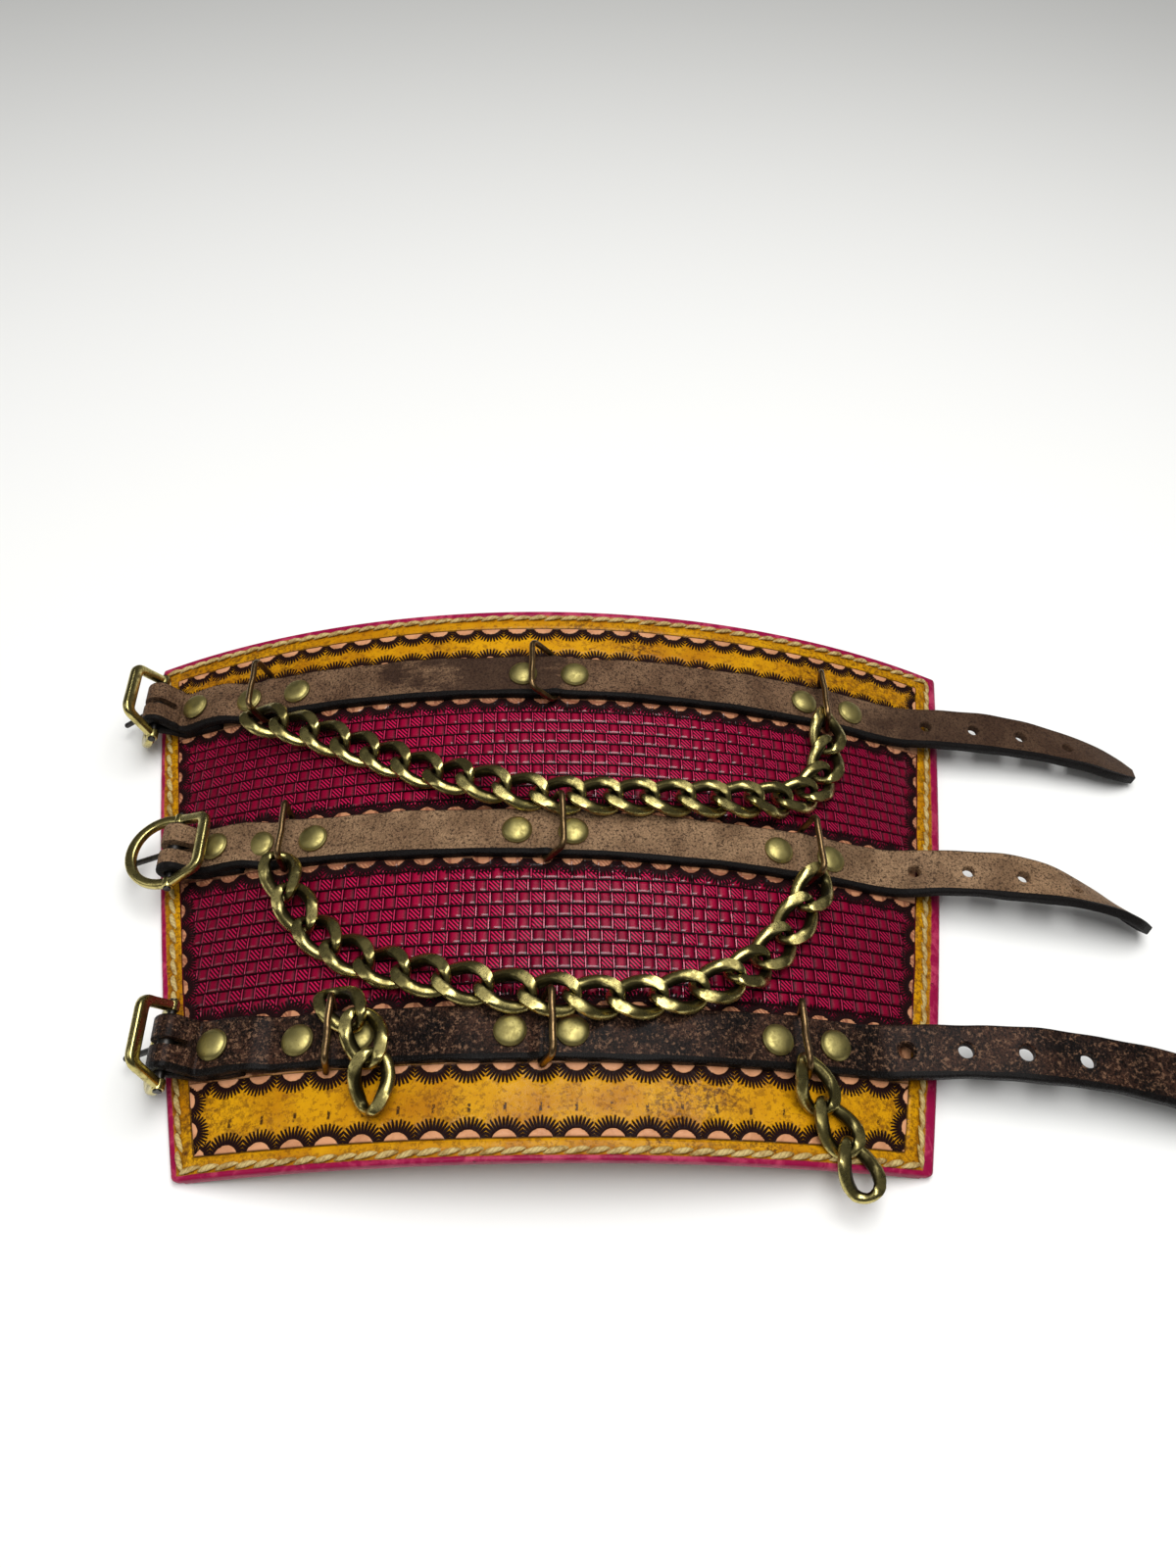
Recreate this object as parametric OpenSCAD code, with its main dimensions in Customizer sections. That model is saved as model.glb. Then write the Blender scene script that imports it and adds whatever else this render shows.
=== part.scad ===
// Leather bracer: a tooled panel arched over a lining, three riveted straps with
// buckles, nine wire rings, two draped curb chains and two dangling chain ends.
// The wrist end is on the -Y side, the elbow end on the +Y side, and the straps run along X.
// Every piece is laid out in a bench frame, with the ridge of the arch along Y at z = 0,
// and on_floor() then stands the arch on its two side edges at z = 0.

/* [Panel] */
// Length of the panel from the wrist end to the elbow end
panel_l = 184.5; // [178:0.5:195]
// Straight width across the wrist end
wrist_w = 201; // [194:1:208]
// Straight width across the elbow end
elbow_w = 280; // [272:1:288]
// Radius that the outer face is bent to
arch_r = 300; // [285:5:330]
// Thickness of the tooled leather
hide_t = 2; // [1.6:0.2:3]
// Thickness of the lining leather
lining_t = 1; // [0.8:0.1:1.6]
// Depth of the flat where a side edge rests
rest_flat = 0.4; // [0.3:0.1:0.6]
// Radius of the panel's four corners
corner_r = 3; // [1:0.5:6]

/* [Straps] */
// Width of each strap
strap_w = 15.5; // [14:0.5:17]
// Thickness of each strap
strap_t = 2.8; // [2.2:0.2:3.2]
// Distance from the wrist end to the first strap's middle
strap_first = 33.2; // [31:0.1:36]
// Distance from one strap to the next
strap_step = 60.5; // [58:0.5:62]
// Distance of the fold rivet inside the panel's side edge
fold_in = 17.4; // [16:0.1:19]
// Length of the turned-under end past the fold rivet
fold_end = 7.5; // [6.5:0.5:9]
// Distance from the fold rivet to the buckle's bar
fold_run = 13.6; // [13:0.1:16]
// Distance inside the panel's edge where a tail leaves the leather
tail_leave = 28; // [24:1:29]
// Distance between two holes in a tail
hole_pitch = 16.5; // [14:0.5:18]
// Radius of a hole in a tail
hole_r = 2.1; // [1.6:0.1:2.4]
// Number of holes in each tail
hole_count = 4; // [3:1:5]

/* [Rivets] */
// Radius of a rivet cap
cap_r = 4.5; // [3.6:0.1:4.8]
// Height of a rivet cap's dome
cap_h = 2.2; // [1.6:0.1:2.8]
// Radius of a rivet's stem
stem_r = 1.4; // [1:0.1:1.7]
// Thickness of a rivet's base inside the lining
base_t = 0.9; // [0.6:0.1:1.4]
// Distance of a rivet from the ring that it holds
ring_rivet = 8.2; // [7.8:0.2:9]

/* [Rings] */
// Radius of the ring wire
wire_r = 0.95; // [0.8:0.05:1.1]
// Gap between the strap's edge and a ring's upright
ring_gap = 0.6; // [0.5:0.1:1]
// Height of a ring between the middles of its bars
ring_h = 10.6; // [10:0.2:12]
// Radius of a ring's corners, at the middle of the wire
ring_corner = 2.2; // [1.6:0.1:2.6]

/* [Chains] */
// Length of a link over its ends
link_l = 17.6; // [17:0.1:18]
// Width of a link
link_w = 12; // [11.6:0.1:12.6]
// Radius of the link wire
link_r = 1.3; // [1.15:0.05:1.4]
// Twist of a link's end from its middle
link_twist = 44; // [40:1:48]
// Height of a link between its two ground faces
link_flat = 4.8; // [4.4:0.1:5.4]
// Play where one link pulls on the next
link_play = 0.6; // [0.4:0.1:0.8]

/* [Buckles] */
// Width of a buckle over its rails
buckle_w = 25; // [24:0.5:27]
// Width of a buckle's rail
rail_w = 2.8; // [2.2:0.1:3.2]
// Thickness of a buckle frame
frame_t = 2.2; // [1.8:0.1:2.6]
// Reach of the rounded wing from the bar
round_reach = 15.2; // [14:0.1:15.5]
// Reach of the square wing from the bar
square_reach = 11.6; // [11:0.1:12.4]
// Width of the square wing at its far end
square_w = 20; // [18:0.5:22]
// Radius of the buckle's bar
bar_r = 1.2; // [1:0.1:1.4]
// Length of the prong from the bar
prong_l = 17.4; // [16:0.1:18]
// Radius of the prong's wire
prong_r = 0.9; // [0.7:0.05:1.1]

/* [Hidden] */

// Arc steps: large arcs, small round pieces, wire
arch_fn = 360;
round_fn = 48;
wire_fn = 24;

// Gap left under a soft piece that lies on another
seat = 0.05;
// Gap between a pin or stem and its hole
hole_play = 0.05;
// Gap under a chain link that lies on leather
lie = 0.45;

// Sideways shift of each strap and its slope across the panel: wrist, middle, elbow
strap_shift = [0, 1.6, 0.2];
strap_slope = [-0.008, -0.03, -0.016];
// Further distance of each fold rivet inside the panel's edge, and the rise of each fold
fold_more = [0, 3.9, -0.6];
fold_rise = [12, -1, 9];
// Places of the three pairs of rivets along each strap, and of the rings between them
pair_x = [[-61, -4.5, 67.2], [-80.3, -3.6, 74.2], [-92.2, -2.5, 89.6]];
ring_x = [[-61, -4.5, 67.2], [-80.3, -3.6, 74.2], [-94, -0.6, 89.6]];
// Lean of each ring towards +X, from square to the leather
ring_lean = [[16, 16, -21], [12, 29, 6], [-6, -44, -28]];
// Direction of each buckle's rounded and square wings and of its prong, in the XZ plane
round_dir = [240, 191, 242];
square_dir = [114, 35, 120];
prong_dir = [217, 209, 218];
// Each tail: steps of a quarter hole pitch up to its end, and up to its first hole
tail_steps = [26, 22, 23];
tail_first = [4, 4, 5];
// Slope of each tail once it is clear of the leather, and at its end
tail_level = [6, 7, -1];
tail_droop = [-9, -24, -15];
// Sideways drift and roll of each tail at its end
tail_drift = [-18, -22, -18];
tail_roll = [0, 56, 26];

/* Frame of the arch */
inner_r = arch_r - hide_t - lining_t;
wrist_a = asin(wrist_w / 2 / arch_r);
elbow_a = asin(elbow_w / 2 / arch_r);
// Heights of the side edges' inner corners under the ridge, at the two ends
wrist_z = inner_r * cos(wrist_a) - arch_r;
elbow_z = inner_r * cos(elbow_a) - arch_r;
tilt = atan((wrist_z - elbow_z) / panel_l);
edge_mid_a = (wrist_a + elbow_a) / 2;

// Height of the floor under the ridge line
function floor_z(y) = wrist_z + (elbow_z - wrist_z) * y / panel_l;
// Angle and place of the side edge at a distance from the wrist end
function edge_a(y) = acos((floor_z(y) + arch_r) / inner_r);
function edge_x(y) = arch_r * sin(edge_a(y));
function strap_y(i, x = 0) = strap_first + strap_step * i + strap_shift[i] + strap_slope[i] * x;

function clamp01(t) = min(1, max(0, t));
function smooth(t) = let (c = clamp01(t)) c * c * (3 - 2 * c);
function mix(a, b, t) = a + (b - a) * t;
function bump(d, w) = abs(d) < w ? pow(cos(90 * d / w), 2) : 0;
function unit(v) = v / norm(v);
// Steps from a to b, both ends included
function steps(a, b, n) = [for (k = [0:n]) mix(a, b, k / n)];

// Point and normal of the panel's outer face at x
function face_a(x) = asin(x / arch_r);
function face_n(x) = [sin(face_a(x)), 0, cos(face_a(x))];
function face_p(x, y) = [x, y, arch_r * cos(face_a(x)) - arch_r];

// Middle of the whole piece's footprint, which the ground frame is centred on
middle_x = 27.07;
middle_y = 87.67;
module on_floor() {
    translate([-middle_x, -middle_y, -rest_flat])
        rotate([tilt, 0, 0])
            translate([0, 0, -wrist_z])
                children();
}

// Turns a piece that is drawn at the ridge to its place on the face
module at_face(x, y, h) {
    translate([0, 0, -arch_r])
        rotate([0, face_a(x), 0])
            translate([0, y, arch_r + h])
                children();
}

// A solid skinned over sections of m points each, closed into a loop or capped
module skin(sections, loop) {
    n = len(sections);
    m = len(sections[0]);
    last = loop ? n - 1 : n - 2;
    sides = [
        for (i = [0:last], j = [0:m - 1])
            for (f = [
                [i * m + j, ((i + 1) % n) * m + j, ((i + 1) % n) * m + (j + 1) % m],
                [i * m + j, ((i + 1) % n) * m + (j + 1) % m, i * m + (j + 1) % m]
            ]) f
    ];
    caps = loop ? [] : [
        for (j = [1:m - 2]) [0, j, j + 1],
        for (j = [1:m - 2]) [(n - 1) * m, (n - 1) * m + j + 1, (n - 1) * m + j]
    ];
    polyhedron([for (s = sections) for (p = s) p], concat(sides, caps));
}

/* Panel and lining */
module arch_shell(r, t) {
    translate([0, 0, -arch_r])
        rotate([-90, 0, 0])
            difference() {
                cylinder(r = r, h = panel_l, $fn = arch_fn);
                translate([0, 0, -1])
                    cylinder(r = r - t, h = panel_l + 2, $fn = arch_fn);
            }
}

// How far a rounded corner draws the side edge in, d away from the panel's end
function corner_in(d) = d >= corner_r ? 0 : corner_r - sqrt(max(0, d * (2 * corner_r - d)));
function edge_u(y) =
    inner_r * sin(edge_a(y) - edge_mid_a) - corner_in(max(0, y)) - corner_in(max(0, panel_l - y));
corner_steps = [-0.05, 0.12, 0.35, 0.65, 1];

// Everything outside one side edge
module outside_edge(side) {
    ys = concat(
        [-2],
        [for (t = corner_steps) t * corner_r],
        between(corner_r, panel_l - corner_r, 10),
        [for (k = [0:4]) panel_l - corner_r * corner_steps[4 - k]],
        [panel_l + 2]
    );
    far = 40;
    translate([0, 0, -arch_r])
        mirror([side < 0 ? 1 : 0, 0, 0])
            rotate([0, edge_mid_a, 0])
                translate([0, 0, arch_r * 0.7])
                    linear_extrude(arch_r * 0.6)
                        polygon(concat(
                            [for (y = ys) [edge_u(y), y]],
                            [[5 * far, panel_l + 2], [5 * far, -2]]
                        ));
}

// The lower part of the full cylinder, that the two side edges' tools don't reach
module under_arch() {
    translate([-2 * arch_r, -1, -3 * arch_r])
        cube([4 * arch_r, panel_l + 2, 2.5 * arch_r]);
}

module trimmed_shell(r, t) {
    difference() {
        arch_shell(r, t);
        outside_edge(1);
        outside_edge(-1);
        under_arch();
        stem_holes();
    }
}

module stem_holes() {
    for (i = [0:2], x = rivet_x(i))
        at_face(x, strap_y(i, x), -2 * (hide_t + lining_t))
            rotate([0, 0, 37])
                cylinder(r = stem_r + hole_play, h = 3 * (hide_t + lining_t), $fn = wire_fn);
}

module tooled_panel() {
    color([0.62, 0.08, 0.28])
        on_floor()
            trimmed_shell(arch_r, hide_t);
}

module lining() {
    color([0.62, 0.12, 0.34])
        difference() {
            on_floor()
                trimmed_shell(arch_r - hide_t, lining_t);
            translate([-2 * arch_r, -2 * arch_r, -arch_r])
                cube([4 * arch_r, 4 * arch_r, arch_r]);
        }
}

/* Rivets */
// Places of the seven rivets of a strap: the fold rivet, then a pair round each ring
function fold_x(i) = fold_in + fold_more[i] - edge_x(strap_y(i));
function fold_y(i) = strap_y(i, fold_x(i));
function rivet_x(i) = concat([fold_x(i)], [for (x = pair_x[i], d = [-1, 1]) x + d * ring_rivet]);

// Middle plane of the two layers at the fold rivet, and the buckle's bar
layer = strap_t + seat;
function between_layers(i, x) = face_p(x, fold_y(i)) + (seat + layer) * face_n(x);
function bar_p(i) = between_layers(i, fold_x(i)) + fold_run * [-cos(fold_rise[i]), 0, sin(fold_rise[i])];

// The two layers lie on the leather under the rivet's cap, then leave it for the bar
leave_run = cap_r + 0.3;
function leave_x(i) = fold_x(i) - leave_run;
function leave_p(i) = between_layers(i, leave_x(i));
function leg_l(i) = norm(bar_p(i) - leave_p(i));
function leg_dir(i) = unit(bar_p(i) - leave_p(i));
function leg_n(i) = [leg_dir(i)[2], 0, -leg_dir(i)[0]];
function leg_rise(i) = atan2(leg_dir(i)[2], -leg_dir(i)[0]);

function stack_h(k) = (k == 0 ? 2 : 1) * layer + seat;
module cap_place(i, k) {
    at_face(rivet_x(i)[k], strap_y(i, rivet_x(i)[k]), stack_h(k))
        children();
}

module rivet_cap() {
    dome_r = (cap_r * cap_r + cap_h * cap_h) / 2 / cap_h;
    difference() {
        intersection() {
            translate([0, 0, cap_h - dome_r])
                sphere(r = dome_r, $fn = round_fn);
            cylinder(r = cap_r, h = cap_h + 1, $fn = round_fn);
        }
        translate([0, 0, -1])
            cylinder(r = stem_r + hole_play, h = 1 + cap_h / 2, $fn = wire_fn);
    }
}

module rivet_caps(i) {
    color([0.55, 0.50, 0.25])
        on_floor()
            for (k = [0:6])
                cap_place(i, k)
                    rivet_cap();
}

module rivet_posts(i) {
    depth = hide_t + lining_t;
    color([0.50, 0.45, 0.22])
        on_floor()
            for (k = [0:6]) {
                at_face(rivet_x(i)[k], strap_y(i, rivet_x(i)[k]), -depth - seat) {
                    translate([0, 0, -base_t])
                        cylinder(r = cap_r, h = base_t, $fn = round_fn);
                    cylinder(r = stem_r, h = depth + seat + stack_h(k) + cap_h * 0.4, $fn = wire_fn);
                }
            }
}

/* Straps */
bar_lift = 2 * wire_r + 0.35;
bar_ramp = 3.6;
top_lift = 0.7;

// One section of a strap: a point, its outward normal and its way across
function section(p, n, across, half_w, lo, hi) = [
    p - half_w * across + lo * n,
    p + half_w * across + lo * n,
    p + half_w * across + hi * n,
    p - half_w * across + hi * n
];
function lift_sum(i, x, w) = bump(x - ring_x[i][0], w) + bump(x - ring_x[i][1], w) + bump(x - ring_x[i][2], w);

// On the panel: over the turned-under end first, then down onto the leather, over each ring's bar
function panel_section(i, x) =
    let (over = layer * (1 - smooth((x - fold_x(i) - fold_end - 0.5) / 9)))
    section(face_p(x, strap_y(i, x)), face_n(x), [0, 1, 0], strap_w / 2,
        seat + over + bar_lift * lift_sum(i, x, bar_ramp),
        seat + over + strap_t + top_lift * lift_sum(i, x, bar_ramp));

// Off the panel: both layers run straight to the bar and spread to go round it
leg_start = 3.4;
function spread(i, s) = mix(seat / 2, bar_r + 0.3, smooth((s - leg_start) / (leg_l(i) - leg_start)));
function leg_section(i, s, up) =
    section(leave_p(i) + s * leg_dir(i), up * leg_n(i), [0, 1, 0], strap_w / 2, spread(i, s), spread(i, s) + strap_t);
function turn_section(i, a) =
    section(bar_p(i), [cos(a), 0, sin(a)], [0, 1, 0], strap_w / 2, bar_r + 0.3, bar_r + 0.3 + strap_t);
function under_section(i, x) =
    section(face_p(x, fold_y(i)), -face_n(x), [0, 1, 0], strap_w / 2, -seat - strap_t, -seat);

function ring_marks(i, j) = [for (d = [-4:4]) ring_x[i][j] + bar_ramp * d / 4];
function tail_x(i) = edge_x(strap_y(i)) - tail_leave;
function between(a, b, n) = [for (k = [1:n - 1]) mix(a, b, k / n)];
function panel_marks(i) = concat(
    steps(fold_x(i) + leave_run, fold_x(i) + fold_end + 9.5, 5),
    i == 0 || ring_x[i][0] - bar_ramp - fold_x(i) - fold_end - 9.5 > 4 ?
        between(fold_x(i) + fold_end + 9.5, ring_x[i][0] - bar_ramp, 3) : [],
    ring_marks(i, 0),
    between(ring_x[i][0] + bar_ramp, ring_x[i][1] - bar_ramp, 12),
    ring_marks(i, 1),
    between(ring_x[i][1] + bar_ramp, ring_x[i][2] - bar_ramp, 12),
    ring_marks(i, 2),
    between(ring_x[i][2] + bar_ramp, tail_x(i), 4)
);

// The tail: heading in the XZ plane, heading in plan and roll, after s of a length of l
tail_step = hole_pitch / 4;
function tail_slope(i, s, l) = s < 20
    ? mix(-face_a(tail_x(i)), tail_level[i], smooth(s / 20))
    : mix(tail_level[i], tail_droop[i], pow((s - 20) / (l - 20), 1.6));
function tail_swing(i, s, l) = 2 * tail_drift[i] / l * pow(clamp01((s - 12) / (l - 12)), 1.2) * 180 / PI;
function tail_turn(i, s, l) = tail_roll[i] * smooth((s - 0.45 * l) / (0.55 * l));
function tail_way(i, k) =
    let (l = tail_steps[i] * tail_step, a = tail_slope(i, k * tail_step, l), b = tail_swing(i, k * tail_step, l))
    [cos(a) * cos(b), cos(a) * sin(b), sin(a)];
function tail_p(i, k) = k <= 0
    ? face_p(tail_x(i), strap_y(i, tail_x(i)))
    : tail_p(i, k - 1) + tail_step * tail_way(i, k - 0.5);
function tail_across(i, k) =
    let (t = tail_way(i, k), q = unit([-t[1], t[0], 0]), r = tail_turn(i, k * tail_step, tail_steps[i] * tail_step))
    q * cos(r) - unit(cross(t, q)) * sin(r);
function tail_n(i, k) = unit(cross(tail_way(i, k), tail_across(i, k)));
tip = [0.42, 0.78, 0.94];
function tail_half_w(i, k) = strap_w / 2 * (tail_steps[i] - k < 3 ? tip[tail_steps[i] - k] : 1);
function tail_section(i, k) =
    section(tail_p(i, k), tail_n(i, k), tail_across(i, k), tail_half_w(i, k), seat, seat + strap_t);

function over_cap_section(i, x) =
    section(face_p(x, fold_y(i)), face_n(x), [0, 1, 0], strap_w / 2, seat + layer, seat + layer + strap_t);
function strap_sections(i) = concat(
    [for (x = [fold_x(i) + fold_end, fold_x(i) + leave_run, leave_x(i)]) under_section(i, x)],
    [for (s = steps(leg_start, leg_l(i) - 1.5, 3)) leg_section(i, s, -1)],
    [for (a = steps(270, 90, 8)) turn_section(i, a - leg_rise(i))],
    [for (s = steps(leg_l(i) - 1.5, leg_start, 3)) leg_section(i, s, 1)],
    [over_cap_section(i, leave_x(i))],
    [for (x = panel_marks(i)) panel_section(i, x)],
    [for (k = [0:tail_steps[i]]) tail_section(i, k)]
);

// The slot that lets the prong through the fold
slot_half = prong_r + 1;
slot_run = 6;
module prong_slot(i) {
    translate(bar_p(i))
        rotate([0, leg_rise(i), 0]) {
            translate([-10, -slot_half, -10])
                cube([slot_run + 10, 2 * slot_half, 20]);
            translate([slot_run, 0, -10])
                cylinder(r = slot_half, h = 20, $fn = wire_fn);
        }
}

module strap(i, shade) {
    color(shade)
        on_floor()
            difference() {
                skin(strap_sections(i), false);
                prong_slot(i);
                for (k = [0:6])
                    at_face(rivet_x(i)[k], strap_y(i, rivet_x(i)[k]), -1)
                        rotate([0, 0, 37])
                            cylinder(r = stem_r + hole_play, h = 10, $fn = wire_fn);
                for (k = [1:6])
                    cap_place(i, k)
                        rotate([0, 0, 20])
                            cylinder(r = cap_r + hole_play, h = cap_h + 2, $fn = round_fn);
                for (k = [0:hole_count - 1])
                    tail_hole(i, tail_first[i] + 4 * k);
            }
}

module tail_hole(i, k) {
    n = tail_n(i, k);
    translate(tail_p(i, k))
        rotate([0, acos(n[2]), atan2(n[1], n[0])])
            rotate([0, 0, 37])
                translate([0, 0, -2])
                    cylinder(r = hole_r, h = strap_t + 4, $fn = wire_fn);
}

/* Buckles */
// Draws a wing's plate, lying along +X, to its direction in the XZ plane
module wing(dir) {
    rotate([0, -dir, 0])
        translate([0, 0, -frame_t / 2])
            linear_extrude(frame_t)
                children();
}

module round_outline(grow) {
    r = buckle_w / 2 + grow;
    c = round_reach - buckle_w / 2;
    translate([0, -r])
        square([c, 2 * r]);
    translate([c, 0])
        intersection() {
            circle(r = r, $fn = 96);
            translate([0, -2 * r])
                square([2 * r, 4 * r]);
        }
}

module square_outline(cut) {
    end = square_reach + rail_w / 2 - cut;
    root = buckle_w / 2 - cut;
    half = square_w / 2 - cut;
    r = 2;
    polygon([
        [0, -root], [end - r, -half - (root - half) * r / end], [end - 0.3 * r, -half + 0.3 * r], [end, r - half],
        [end, half - r], [end - 0.3 * r, half - 0.3 * r], [end - r, half + (root - half) * r / end], [0, root]
    ]);
}

module buckle_frame(i) {
    boss_r = bar_r + 0.9;
    color([0.55, 0.50, 0.25])
        on_floor()
            translate(bar_p(i))
                difference() {
                    union() {
                        wing(round_dir[i])
                            difference() {
                                round_outline(0);
                                round_outline(-rail_w);
                            }
                        wing(square_dir[i])
                            difference() {
                                square_outline(0);
                                square_outline(rail_w);
                            }
                        for (s = [-1, 1])
                            translate([0, s * (buckle_w - rail_w) / 2, 0])
                                rotate([90, 70, 0])
                                    cylinder(r = boss_r, h = rail_w + 0.2, center = true, $fn = round_fn);
                    }
                    rotate([90, 70, 0])
                        cylinder(r = bar_r + 0.01, h = 2 * buckle_w, center = true, $fn = round_fn);
                }
}

module buckle_bar(i) {
    color([0.12, 0.11, 0.10])
        on_floor()
            translate(bar_p(i))
                rotate([90, 0, 0])
                    cylinder(r = bar_r, h = buckle_w + 1.2, center = true, $fn = round_fn);
}

module buckle_prong(i) {
    eye_r = bar_r + 1.2;
    color([0.12, 0.11, 0.10])
        on_floor()
            translate(bar_p(i))
                difference() {
                    union() {
                        rotate([90, 0, 0])
                            cylinder(r = eye_r, h = 2 * prong_r, center = true, $fn = round_fn);
                        rotate([0, 90 - prong_dir[i], 0]) {
                            cylinder(r = prong_r, h = prong_l - prong_r, $fn = wire_fn);
                            translate([0, 0, prong_l - prong_r])
                                sphere(r = prong_r, $fn = wire_fn);
                        }
                    }
                    rotate([90, 0, 0])
                        cylinder(r = bar_r + hole_play, h = buckle_w, center = true, $fn = round_fn);
                }
}

/* Rings */
ring_span = strap_w + 2 * ring_gap + 2 * wire_r;

module wire_bar(l) {
    cylinder(r = wire_r, h = l, center = true, $fn = wire_fn);
}

// A rectangular loop standing on its lower bar, which lies along Y at the origin
module ring_loop() {
    flat_l = ring_span - 2 * ring_corner;
    up_l = ring_h - 2 * ring_corner;
    for (z = [0, ring_h])
        translate([0, 0, z])
            rotate([90, 0, 0])
                wire_bar(flat_l);
    for (s = [-1, 1])
        translate([0, s * ring_span / 2, ring_h / 2])
            wire_bar(up_l);
    for (q = [0:3])
        translate([
            0,
            (q == 0 || q == 3 ? 1 : -1) * flat_l / 2,
            q < 2 ? ring_h - ring_corner : ring_corner
        ])
            rotate([90, 0, 90])
                rotate([0, 0, 90 * q])
                    rotate_extrude(angle = 90, $fn = 48)
                        translate([ring_corner, 0])
                            circle(r = wire_r, $fn = wire_fn);
}

module ring(i, j) {
    color([0.42, 0.36, 0.16])
        on_floor()
            at_face(ring_x[i][j], strap_y(i, ring_x[i][j]), wire_r + 2 * seat)
                rotate([0, ring_lean[i][j], 0])
                    ring_loop();
}

/* Chains */
long_r = link_l / 2 - link_r;
side_r = link_w / 2 - link_r;
pitch = link_l - 4 * link_r - link_play;
link_steps = 16;
link_sides = 6;

// Middle line of a link: an oval whose ends are twisted each way about its length
function link_mid(t) =
    let (x = (long_r - side_r) * max(-1, min(1, 1.6 * cos(t))) + side_r * cos(t), a = link_twist * x / long_r)
    [x, side_r * sin(t) * cos(a), side_r * sin(t) * sin(a)];
function link_section(t) =
    let (
        p = link_mid(t),
        way = unit(link_mid(t + 2) - link_mid(t - 2)),
        side = unit(cross(way, [0, 0, 1])),
        up = cross(side, way)
    )
    [for (k = [0:link_sides - 1]) p + link_r * (cos(k * 360 / link_sides) * side - sin(k * 360 / link_sides) * up)];

module link() {
    intersection() {
        skin([for (k = [0:link_steps - 1]) link_section((k + 0.5) * 360 / link_steps)], true);
        cube([2 * link_l, 2 * link_w, link_flat], center = true);
    }
}

// Places on the leather are written as arc length and y, so that steps keep their length
function arc_s(x) = arch_r * face_a(x) * PI / 180;
function arc_n(s) = [sin(s / arch_r * 180 / PI), 0, cos(s / arch_r * 180 / PI)];
lie_h = link_flat / 2 + lie;

// How far a link at y, heading along a, rises to clear the straps' edges
function reach_y(a) = link_w / 2 * abs(cos(a)) + link_l / 2 * abs(sin(a));
function over_strap(p, a, i) = smooth((reach_y(a) + strap_w / 2 - abs(p[1] - strap_y(i, p[0])) + 3) / 3);
function near_cap(p, i) = max([
    for (x = rivet_x(i)) smooth((cap_r + link_w / 2 + 1 - norm([p[0] - arc_s(x), p[1] - strap_y(i, x)])) / 3)
]);
function rise(p, a) = layer * max([for (i = [0:2]) over_strap(p, a, i)]) + cap_h * max([for (i = [0:2]) near_cap(p, i)]);

// Anchor of a chain at a ring: the upright on one side of the strap
function anchor(i, j, side, h) = [
    arc_s(ring_x[i][j]) + (h - wire_r) * tan(ring_lean[i][j]),
    strap_y(i, ring_x[i][j]) + side * ring_span / 2
];
function way(a) = [cos(a), sin(a)];

// A run of links along a curve of four points, both ends included
curve_steps = 60;
function curve_at(c, t) =
    c[0] * pow(1 - t, 3) + 3 * c[1] * t * pow(1 - t, 2) + 3 * c[2] * t * t * (1 - t) + c[3] * pow(t, 3);
function curve_lengths(c, k = 0, s = 0) = k > curve_steps ? [] : concat(
    [[s, k / curve_steps]],
    curve_lengths(c, k + 1, s + norm(curve_at(c, (k + 1) / curve_steps) - curve_at(c, k / curve_steps)))
);
function run_count(c) = ceil(curve_lengths(c)[curve_steps][0] / pitch - 0.02);
function run_places(c) =
    let (t = curve_lengths(c), n = run_count(c), l = t[curve_steps][0])
    [for (k = [0:n]) curve_at(c, lookup(l * k / n, t))];

// A link between its neighbours' middles: each is arc length, y and height
function world(p) =
    [arch_r * sin(p[0] / arch_r * 180 / PI), p[1], arch_r * cos(p[0] / arch_r * 180 / PI) - arch_r]
    + p[2] * arc_n(p[0]);

module place_link(p, q) {
    d = q - p;
    m = (p + q) / 2;
    translate([0, 0, -arch_r])
        rotate([0, m[0] / arch_r * 180 / PI, 0])
            translate([0, m[1], arch_r + m[2]])
                rotate([0, 0, atan2(d[1], d[0])])
                    rotate([0, -atan(d[2] / norm([d[0], d[1]])), 0])
                        link();
}

brass = [0.55, 0.50, 0.25];

// Joints of a whole chain, half-way between its links' middles
end_h = 6.4;
function chain_places(c, d) = let (p = run_places(d)) concat(run_places(c), [for (k = [1:len(p) - 1]) p[k]]);
function chain_joints(places) =
    let (
        n = len(places) - 1,
        first = places[0] - (places[1] - places[0]) / 2,
        last = places[n] + (places[n] - places[n - 1]) / 2,
        flat = concat([first], [for (k = [0:n - 1]) (places[k] + places[k + 1]) / 2], [last])
    )
    [for (k = [0:n + 1])
        let (d = flat[min(n + 1, k + 1)] - flat[max(0, k - 1)])
        [flat[k][0], flat[k][1], k == 0 || k == n + 1 ? end_h : lie_h + rise(flat[k], atan2(d[1], d[0]))]
    ];

// The links of a chain from one number to another
module links(c, d, from, to) {
    js = chain_joints(chain_places(c, d));
    color(brass)
        on_floor()
            for (k = [from:to])
                place_link(js[k], js[k + 1]);
}
module left_links(c, d) {
    links(c, d, 0, run_count(c));
}
module right_links(c, d) {
    links(c, d, run_count(c) + 1, run_count(c) + run_count(d));
}

// Distance of an end link's middle from the upright that it hangs on
hang = long_r - link_r - wire_r - 1.1;
// Middle links round the centre rings' far uprights
elbow_mid = anchor(1, 1, 1, end_h) + [0.6, 0.8];
middle_mid = anchor(0, 1, 1, end_h) + [0.5, -1.4];

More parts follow.
